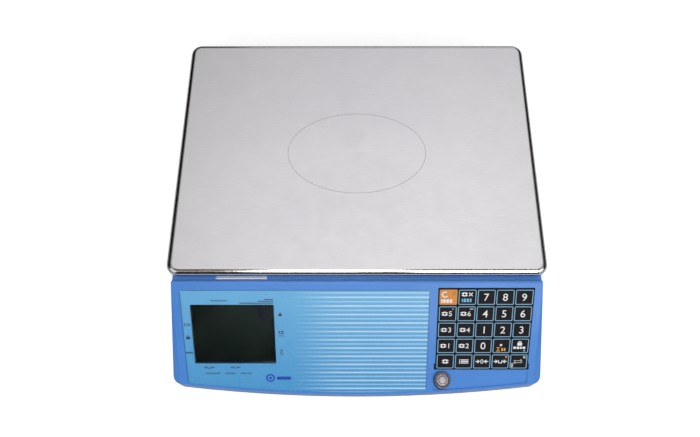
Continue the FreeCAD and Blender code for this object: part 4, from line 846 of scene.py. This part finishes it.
def print_overlay():
    """Generic signs round the display window, and three plain bars over it."""
    window = panel_plane("display_window")
    half_width, half_length = (span("display_window", way) / 2 / MM for way in (ACROSS, DOWN))
    face = extent("display_overlay", OUT)[1] - extent("display_window", OUT)[1]
    plane = window.moved(0, 0, face)
    shape = Shape()
    right = half_width - 0.2
    for length, rise in ((7.8, 5.2), (13.6, 3.5), (30.6, 1.6)):
        bars(shape, plane, right - length / 2, half_length + rise, [length], 0.85, 0)
    bars(shape, plane, -half_width + 26.5, half_length + 4.0, [1.8, 1.3, 2.2, 1.3, 2.2, 1.8, 1.3], 0.9, 0.5)
    beside = half_width + 5.6
    weight_mark(shape, plane, beside, 20.4, 3.4)
    tag_mark(shape, plane, beside, 2.2, 4.4)
    bars(shape, plane, beside, -1.3, [1.4, 1.4, 1.4], 0.7, 0.5)
    sum_mark(shape, plane, beside, -17.2, 3.2)
    bars(shape, plane, beside, -20.4, [1.2, 1.2], 0.7, 0.5)
    left = -half_width - 4.2
    cell = rounded((left - 0.3) * MM, 10.0 * MM, 4.6 * MM, 2.4 * MM, 0.3 * MM, 2)
    hollow = rounded((left - 0.3) * MM, 10.0 * MM, 3.5 * MM, 1.3 * MM, 0.2 * MM, 2)
    shape.ring(plane, cell, hollow, INK)
    shape.prism(plane, bar((left + 2.4) * MM, 10.0 * MM, 0.8 * MM, 1.2 * MM), INK)
    lock_mark(shape, plane, left, -2.8, 4.2)
    bars(shape, plane, left, -18.6, [1.0, 1.4, 1.0, 1.4], 1.9, 0.45)
    below = -half_length - 4.2
    arrow(shape, plane, -28.3, below, 2.4, 2.2, 1)
    tray_mark(shape, plane, -24.9, below, 2.6)
    arrow(shape, plane, -21.5, below, 2.4, 2.2, -1)
    arrow(shape, plane, -3.8, below, 2.4, 2.2, 1)
    shape.text(plane.moved(-0.6 * MM, below * MM), "0", 2.8 * MM, 0, 0.03)
    arrow(shape, plane, 2.6, below, 2.4, 2.2, -1)
    line = below - 6.2
    bars(shape, plane, -22.0, line, [1.0, 1.6, 1.0, 1.6, 1.0, 1.6, 1.0], 1.3, 0.75)
    bars(shape, plane, -5.6, line, [1.0, 1.6, 1.0, 1.6, 1.0], 1.3, 0.75)
    bars(shape, plane, 9.4, line, [1.0, 1.6, 1.0, 1.6, 1.0], 1.3, 0.75)
    shape.finish("overlay_signs", "casing", [ink_dark])

    badge = Shape()
    x, y = half_width + 2.0, below - 11.2
    outer, inner = (disc((x - 8.0) * MM, y * MM, radius * MM, 32) for radius in (4.2, 2.7))
    badge.ring(plane, outer, inner, INK)
    badge.prism(plane, disc((x - 8.0) * MM, y * MM, 1.4 * MM, 20), INK)
    badge.prism(plane, rounded((x + 4.6) * MM, (y - 0.2) * MM, 13.6 * MM, 3.4 * MM, 1.6 * MM, 6), INK)
    badge.finish("overlay_badge", "casing", [ink_deep])


# Each segment of a digit: its place across and up, from -1 to 1, and whether it stands upright.
SEGMENTS = {
    "top": (0, 1, False),
    "middle": (0, 0, False),
    "bottom": (0, -1, False),
    "left_top": (-1, 0.5, True),
    "right_top": (1, 0.5, True),
    "left_low": (-1, -0.5, True),
    "right_low": (1, -0.5, True),
}
NOUGHT = [name for name in SEGMENTS if name != "middle"]


def digit(shape, plane, width, height, pen, lit, kind=0):
    """A seven-segment digit. Each segment is a bar with pointed ends."""
    across, tall = (width - pen) / 2, (height - pen) / 2
    for name, (sx, sy, upright) in SEGMENTS.items():
        if name not in lit:
            continue
        reach = (tall / 2 if upright else across) - 0.06 * pen
        half = pen / 2
        outline = [(-reach, 0), (-reach + half, half), (reach - half, half), (reach, 0),
                   (reach - half, -half), (-reach + half, -half)]
        if upright:
            outline = [(-y, x) for x, y in outline]
        shape.prism(plane, [(x + sx * across, y + sy * tall) for x, y in outline], INK, kind)


def display_digits():
    """The reading: a nought at the right of the upper row, on the liquid crystal glass."""
    window = panel_plane("display_window")
    half_width, half_length = (span("display_window", way) / 2 for way in (ACROSS, DOWN))
    depth = extent("lcd_front", OUT)[1] - extent("display_window", OUT)[1]
    height, pen = 17.6 * MM, 1.75 * MM
    plane = window.moved(half_width - 9.9 * MM, half_length + 1.2 * MM - height / 2, depth)
    shape = Shape()
    digit(shape, plane, 7.3 * MM, height, pen, NOUGHT)
    shape.finish("reading_front", "casing", [segment], "lcd_glass")


def rear_digits():
    """The same reading on the rear display, seen by the customer through the smoked window."""
    low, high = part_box("rear_display_window")
    node = nodes["rear_display_window"]
    outward = max(node.data.polygons, key=lambda face: face.area * (face.normal.y > 0.5)).normal
    right = Vector((-1, 0, 0))
    up = outward.cross(right).normalized()
    face = max(v.co.dot(outward) for v in node.data.vertices)
    middle = (low + high) / 2
    centre = middle + outward * (face - middle.dot(outward))
    shape = Shape()
    first, pitch, pen = 0.9, 9.5 * MM, 1.1 * MM
    for row in (11.5, -1.5, -14.0):
        for place in range(3):
            spot = centre + right * (first + place) * pitch + up * row * MM
            plane = Plane(spot, right, up)
            digit(shape, plane, 5.6 * MM, 9.8 * MM, pen, NOUGHT)
            if place == 0:
                shape.prism(plane, bar(4.6 * MM, -4.5 * MM, pen, pen), INK)
    shape.finish("reading_rear", "casing", [segment_rear], "lcd_glass")


# ---------------------------------------------------------------- small parts

def bubble_level():
    """The round level: a dark cup, a pale ring, a marked circle and the bubble under a pale dome."""
    low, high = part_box("bubble_level")
    radius = (high.x - low.x) / 2
    floor = low.z + 6 * MM
    top = high.z
    plane = flat_plane((low.x + high.x) / 2, (low.y + high.y) / 2, 0)
    shape = Shape()
    shape.turned_ring(plane, [
        (radius - 1.5 * MM, floor), (radius, floor), (radius, top - 0.5 * MM),
        (radius - 0.15 * MM, top - 0.15 * MM), (radius - 0.5 * MM, top), (radius - 1.3 * MM, top),
        (radius - 1.7 * MM, top - 0.3 * MM), (radius - 1.9 * MM, top - 1.4 * MM),
    ], 0)
    shape.lathe(plane, [(0, floor), (radius - 1.6 * MM, floor), (radius - 1.6 * MM, top - 1.6 * MM),
                        (0, top - 1.6 * MM)], 1)
    dome = [(radius - 2.0 * MM, top - 1.6 * MM)]
    dome += [((radius - 2.0 * MM) * math.cos(a), top - 1.55 * MM + 1.1 * MM * math.sin(a))
             for a in (math.radians(t) for t in (0, 20, 40, 60, 75))]
    shape.lathe(plane, [(0, top - 1.7 * MM)] + dome + [(0, top - 0.45 * MM)], 2)
    shape.turned_ring(plane, ring_profile(3.55 * MM, 0.75 * MM, top - 0.75 * MM, 0.35 * MM), 3)
    cap = [(2.75 * MM * math.cos(a), top - 0.62 * MM + 0.45 * MM * math.sin(a))
           for a in (math.radians(t) for t in (0, 25, 50, 75))]
    shape.lathe(plane.moved(-0.2 * MM, -0.1 * MM), [(0, top - 0.9 * MM)] + cap + [(0, top - 0.16 * MM)], 4)
    kinds = [level_grey, level_light, level_light, level_line, level_bubble]
    piece = shape.finish("level_vial", "casing", kinds, "level_grey", True)
    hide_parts("bubble_level")


def ring_profile(radius, width, height, rise, steps=8):
    """A round bead as a closed profile."""
    return [(radius + width / 2 * math.cos(2 * math.pi * i / steps),
             height + rise / 2 * math.sin(2 * math.pi * i / steps)) for i in range(steps)]


def pan_ring():
    """The fine ellipse pressed into the pan's face."""
    low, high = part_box("weighing_pan")
    plane = flat_plane((low.x + high.x) / 2, (low.y + high.y) / 2 - 2.5 * MM, high.z)
    across, deep, line = 65.8 * MM, 42.0 * MM, 0.32 * MM
    steps = 120
    edges = []
    for half in (line / 2, -line / 2):
        edges.append([((across + half) * math.cos(a), (deep + half) * math.sin(a))
                      for a in (2 * math.pi * i / steps for i in range(steps))])
    shape = Shape()
    shape.ring(plane, *edges, INK / 2)
    shape.finish("pan_ellipse", "pan", [scribed], "stainless")


def seal_strip():
    """A plain paper seal on the ledge in front of the pan."""
    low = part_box("weighing_pan")[0]
    ledge = extent("top_cover", UP)[1] - 4 * MM
    plane = flat_plane(low.x + 66.5 * MM, low.y - 1.0 * MM, ledge)
    end, side, point = 23.25 * MM, 0.8 * MM, 2.5 * MM
    outline = [(-end, 0), (-end + point, -side), (end, -side), (end, side), (-end + point, side)]
    shape = Shape()
    shape.prism(plane, outline, 0.12 * MM)
    shape.finish("seal_strip", "casing", [paper])


def foot_lugs():
    """Grip lugs round each foot's pad. They lie just inside its wall, so they don't show."""
    for name in sorted(node for node in nodes if node.startswith("foot_pad_")):
        low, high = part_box(name)
        centre = Vector(((low.x + high.x) / 2, (low.y + high.y) / 2, low.z))
        radius = (high.x - low.x) / 2
        height = (high.z - low.z) * 0.62
        shape = Shape()
        count = 30
        for i in range(count):
            turn = 2 * math.pi * i / count
            out = Vector((math.cos(turn), math.sin(turn), 0))
            side = Vector((-math.sin(turn), math.cos(turn), 0))
            foot = centre + out * (radius - 0.35 * MM) + UP * 0.6 * MM
            lug = rounded(0, height / 2, 1.5 * MM, height, 0.5 * MM, 3)
            shape.prism(Plane(foot, UP, side), [(y, x) for x, y in lug], 0.85 * MM)
        shape.finish(name + "_lugs", name.replace("foot_pad", "pad"), [rubber], "rubber_black")


def door_ribs():
    """Finger ribs on the battery door's outer face, under the base."""
    low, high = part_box("battery_door")
    shape = Shape()
    for step in range(7):
        middle = Vector(((low.x + high.x) / 2, low.y + (14 + 3.2 * step) * MM, low.z))
        plane = Plane(middle, (1, 0, 0), (0, -1, 0))
        shape.prism(plane, rounded(0, 0, 40 * MM, 1.3 * MM, 0.6 * MM, 4), 0.6 * MM)
        shape.prism(plane.moved(0, 0, 0.6 * MM), rounded(0, 0, 39.4 * MM, 0.7 * MM, 0.34 * MM, 4), 0.2 * MM)
    shape.finish("battery_door_ribs", "battery_hatch", [casing_blue], "casing_blue")


def switch_signs():
    """The on and off signs, one on each slope of the rocker."""
    low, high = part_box("power_rocker")
    slopes = {}
    for face in nodes["power_rocker"].data.polygons:
        if face.normal.x > 0.7:
            slope = slopes.setdefault(face.center.y > (low.y + high.y) / 2, [0.0, Vector(), Vector()])
            slope[0] += face.area
            slope[1] += face.center * face.area
            slope[2] += face.normal * face.area
    up = -Vector(joints["power_rocker_tilt"]["axis"])
    shape = Shape()
    for toward_rear, (size, centre, normal) in slopes.items():
        right = up.cross(normal).normalized()
        plane = Plane(centre / size, right, normal.normalized().cross(right))
        if toward_rear:
            shape.prism(plane, bar(0, 0, 0.7 * MM, 4.2 * MM), INK)
        else:
            shape.ring(plane, disc(0, 0, 2.1 * MM, 28), disc(0, 0, 1.5 * MM, 28), INK)
    shape.finish("rocker_signs", "rocker", [ink_white])


# ---------------------------------------------------------------- studio

CAMERA_PLACE = (0.0, -0.1968, 0.5874)
CAMERA_TILT = math.radians(20.0)  # off straight down
FOCAL_LENGTH, SENSOR_WIDTH = 28.68, 36.0  # in millimetres
SIDE_SHIFT = -0.00986  # a part of the picture's width
LOOK_AT = (0.0, 0.0, 0.08)

# Each soft box: its name, place, width, height and radiance. All of them face LOOK_AT.
SOFT_BOXES = (
    ("front_box", (-0.13, -0.94, 1.38), 0.45, 1.25, 4.2),
    ("crest_strip", (0.25, -1.02, 1.42), 1.3, 0.1, 16.0),
    ("front_right_box", (0.5, -1.4, 0.95), 0.6, 0.5, 3.2),
    ("left_corner_box", (-1.15, -0.85, 0.85), 1.1, 1.1, 0.8),
    ("right_corner_box", (1.15, -0.85, 0.85), 0.9, 0.9, 1.6),
    ("rear_box", (0.3, 1.9, 0.75), 1.6, 0.6, 0.6),
)


def camera():
    """A view from above and in front."""
    lens = bpy.data.cameras.new("camera")
    lens.sensor_width, lens.lens, lens.shift_x = SENSOR_WIDTH, FOCAL_LENGTH, SIDE_SHIFT
    lens.clip_start, lens.clip_end = 0.01, 20.0
    eye = add_object("camera", lens)
    eye.location = CAMERA_PLACE
    eye.rotation_euler = (CAMERA_TILT, 0.0, 0.0)
    bpy.context.scene.camera = eye


def soft_box(name, place, width, height, radiance):
    """A rectangular light of that brightness."""
    light = bpy.data.lights.new(name, "AREA")
    light.shape, light.size, light.size_y = "RECTANGLE", width, height
    light.energy = radiance * math.pi * width * height
    lamp = add_object(name, light)
    lamp.location = place
    lamp.rotation_euler = (Vector(LOOK_AT) - Vector(place)).to_track_quat("-Z", "Y").to_euler()


def sky(tree):
    """The room as the steel and the gloss see it: a bright ceiling to the right, a dark gap over the
    front edge, and a dim wall round the horizon. Returns the brightness for each direction."""
    def math_node(operation, first, second=0.0):
        made = tree.nodes.new("ShaderNodeMath")
        made.operation = operation
        for socket, value in zip(made.inputs, (first, second)):
            if isinstance(value, (int, float)):
                socket.default_value = value
            else:
                tree.links.new(value, socket)
        return made.outputs["Value"]

    def toward(direction):
        made = tree.nodes.new("ShaderNodeVectorMath")
        made.operation = "DOT_PRODUCT"
        made.inputs[1].default_value = Vector(direction).normalized()
        tree.links.new(place.outputs["Generated"], made.inputs[0])
        return made.outputs["Value"]

    def ramp(value, start, stop, low, high):
        made = tree.nodes.new("ShaderNodeMapRange")
        made.interpolation_type = "SMOOTHSTEP"
        for socket, number in zip(made.inputs[1:5], (start, stop, low, high)):
            socket.default_value = number
        tree.links.new(value, made.inputs["Value"])
        return made.outputs["Result"]

    # Every ramp goes by the direction's part along X, Y or Z, and then from one brightness to another.
    place = tree.nodes.new("ShaderNodeTexCoord")
    ceiling = math_node("MAXIMUM", math_node("MULTIPLY", toward((0.18, -0.25, 0.85)), 1.3), 0.14)
    wall = ramp(toward((0.0, 0.0, 1.0)), 0.3, 0.62, 0.16, 1.0)
    left = ramp(toward((1.0, 0.0, 0.0)), -0.62, -0.3, 0.1, 1.0)
    right = ramp(toward((1.0, 0.0, 0.0)), 0.42, 0.66, 1.0, 0.12)
    back = ramp(toward((0.0, 1.0, 0.0)), -0.16, 0.04, 0.0, 1.0)
    front = math_node("ADD", math_node("MULTIPLY", back, 0.92), 0.08)
    sides = math_node("MULTIPLY", left, right)
    height = math_node("MULTIPLY", ceiling, wall)
    light = math_node("MULTIPLY", height, math_node("MULTIPLY", sides, front))
    return light, back


def studio():
    """A pale floor, the room round it, and soft boxes in front and at the sides."""
    mesh = bpy.data.meshes.new("floor")
    half, low = 1.3, cad_box[0].z
    corners = [(x, y, low) for x, y in bar(0, 0, 2 * half, 2 * half)]
    mesh.from_pydata(corners, [], [(0, 1, 2, 3)])
    floor = add_object("floor", mesh)
    white = Finish("floor_white", 0.9)
    white.set("Base Color", (0.5, 0.5, 0.5, 1))
    white.set("Emission Color", (1, 1, 1, 1))
    seen_first = white.node("ShaderNodeLightPath").outputs["Is Camera Ray"]
    white.link(white.math("MULTIPLY", seen_first, 0.72), "Emission Strength")
    mesh.materials.append(white.material)

    world = bpy.data.worlds.new("studio")
    bpy.context.scene.world = world
    world.use_nodes = True
    tree = world.node_tree
    room = tree.nodes["Background"]
    light, back = sky(tree)
    tint = tree.nodes.new("ShaderNodeMix")
    tint.data_type = "RGBA"
    amount, first, second = (tint.inputs[i] for i in (0, 6, 7))  # the mixed colours are 6 and 7
    first.default_value, second.default_value = (1.0, 0.82, 0.68, 1), (1.0, 0.985, 1.0, 1)
    tree.links.new(back, amount)
    tree.links.new(tint.outputs[2], room.inputs["Color"])
    tree.links.new(light, room.inputs["Strength"])
    seen = tree.nodes.new("ShaderNodeBackground")
    seen.inputs["Color"].default_value = (1, 1, 1, 1)
    rays = tree.nodes.new("ShaderNodeLightPath")
    both = tree.nodes.new("ShaderNodeMixShader")
    tree.links.new(rays.outputs["Is Camera Ray"], both.inputs["Fac"])
    tree.links.new(room.outputs["Background"], both.inputs[1])
    tree.links.new(seen.outputs["Background"], both.inputs[2])
    tree.links.new(both.outputs["Shader"], tree.nodes["World Output"].inputs["Surface"])

    for values in SOFT_BOXES:
        soft_box(*values)
    bpy.context.scene.view_settings.view_transform = "Standard"


camera()
studio()
dress_nodes()
brass_blades()
print_keys()
print_overlay()
display_digits()
rear_digits()
bubble_level()
pan_ring()
seal_strip()
foot_lugs()
door_ribs()
switch_signs()
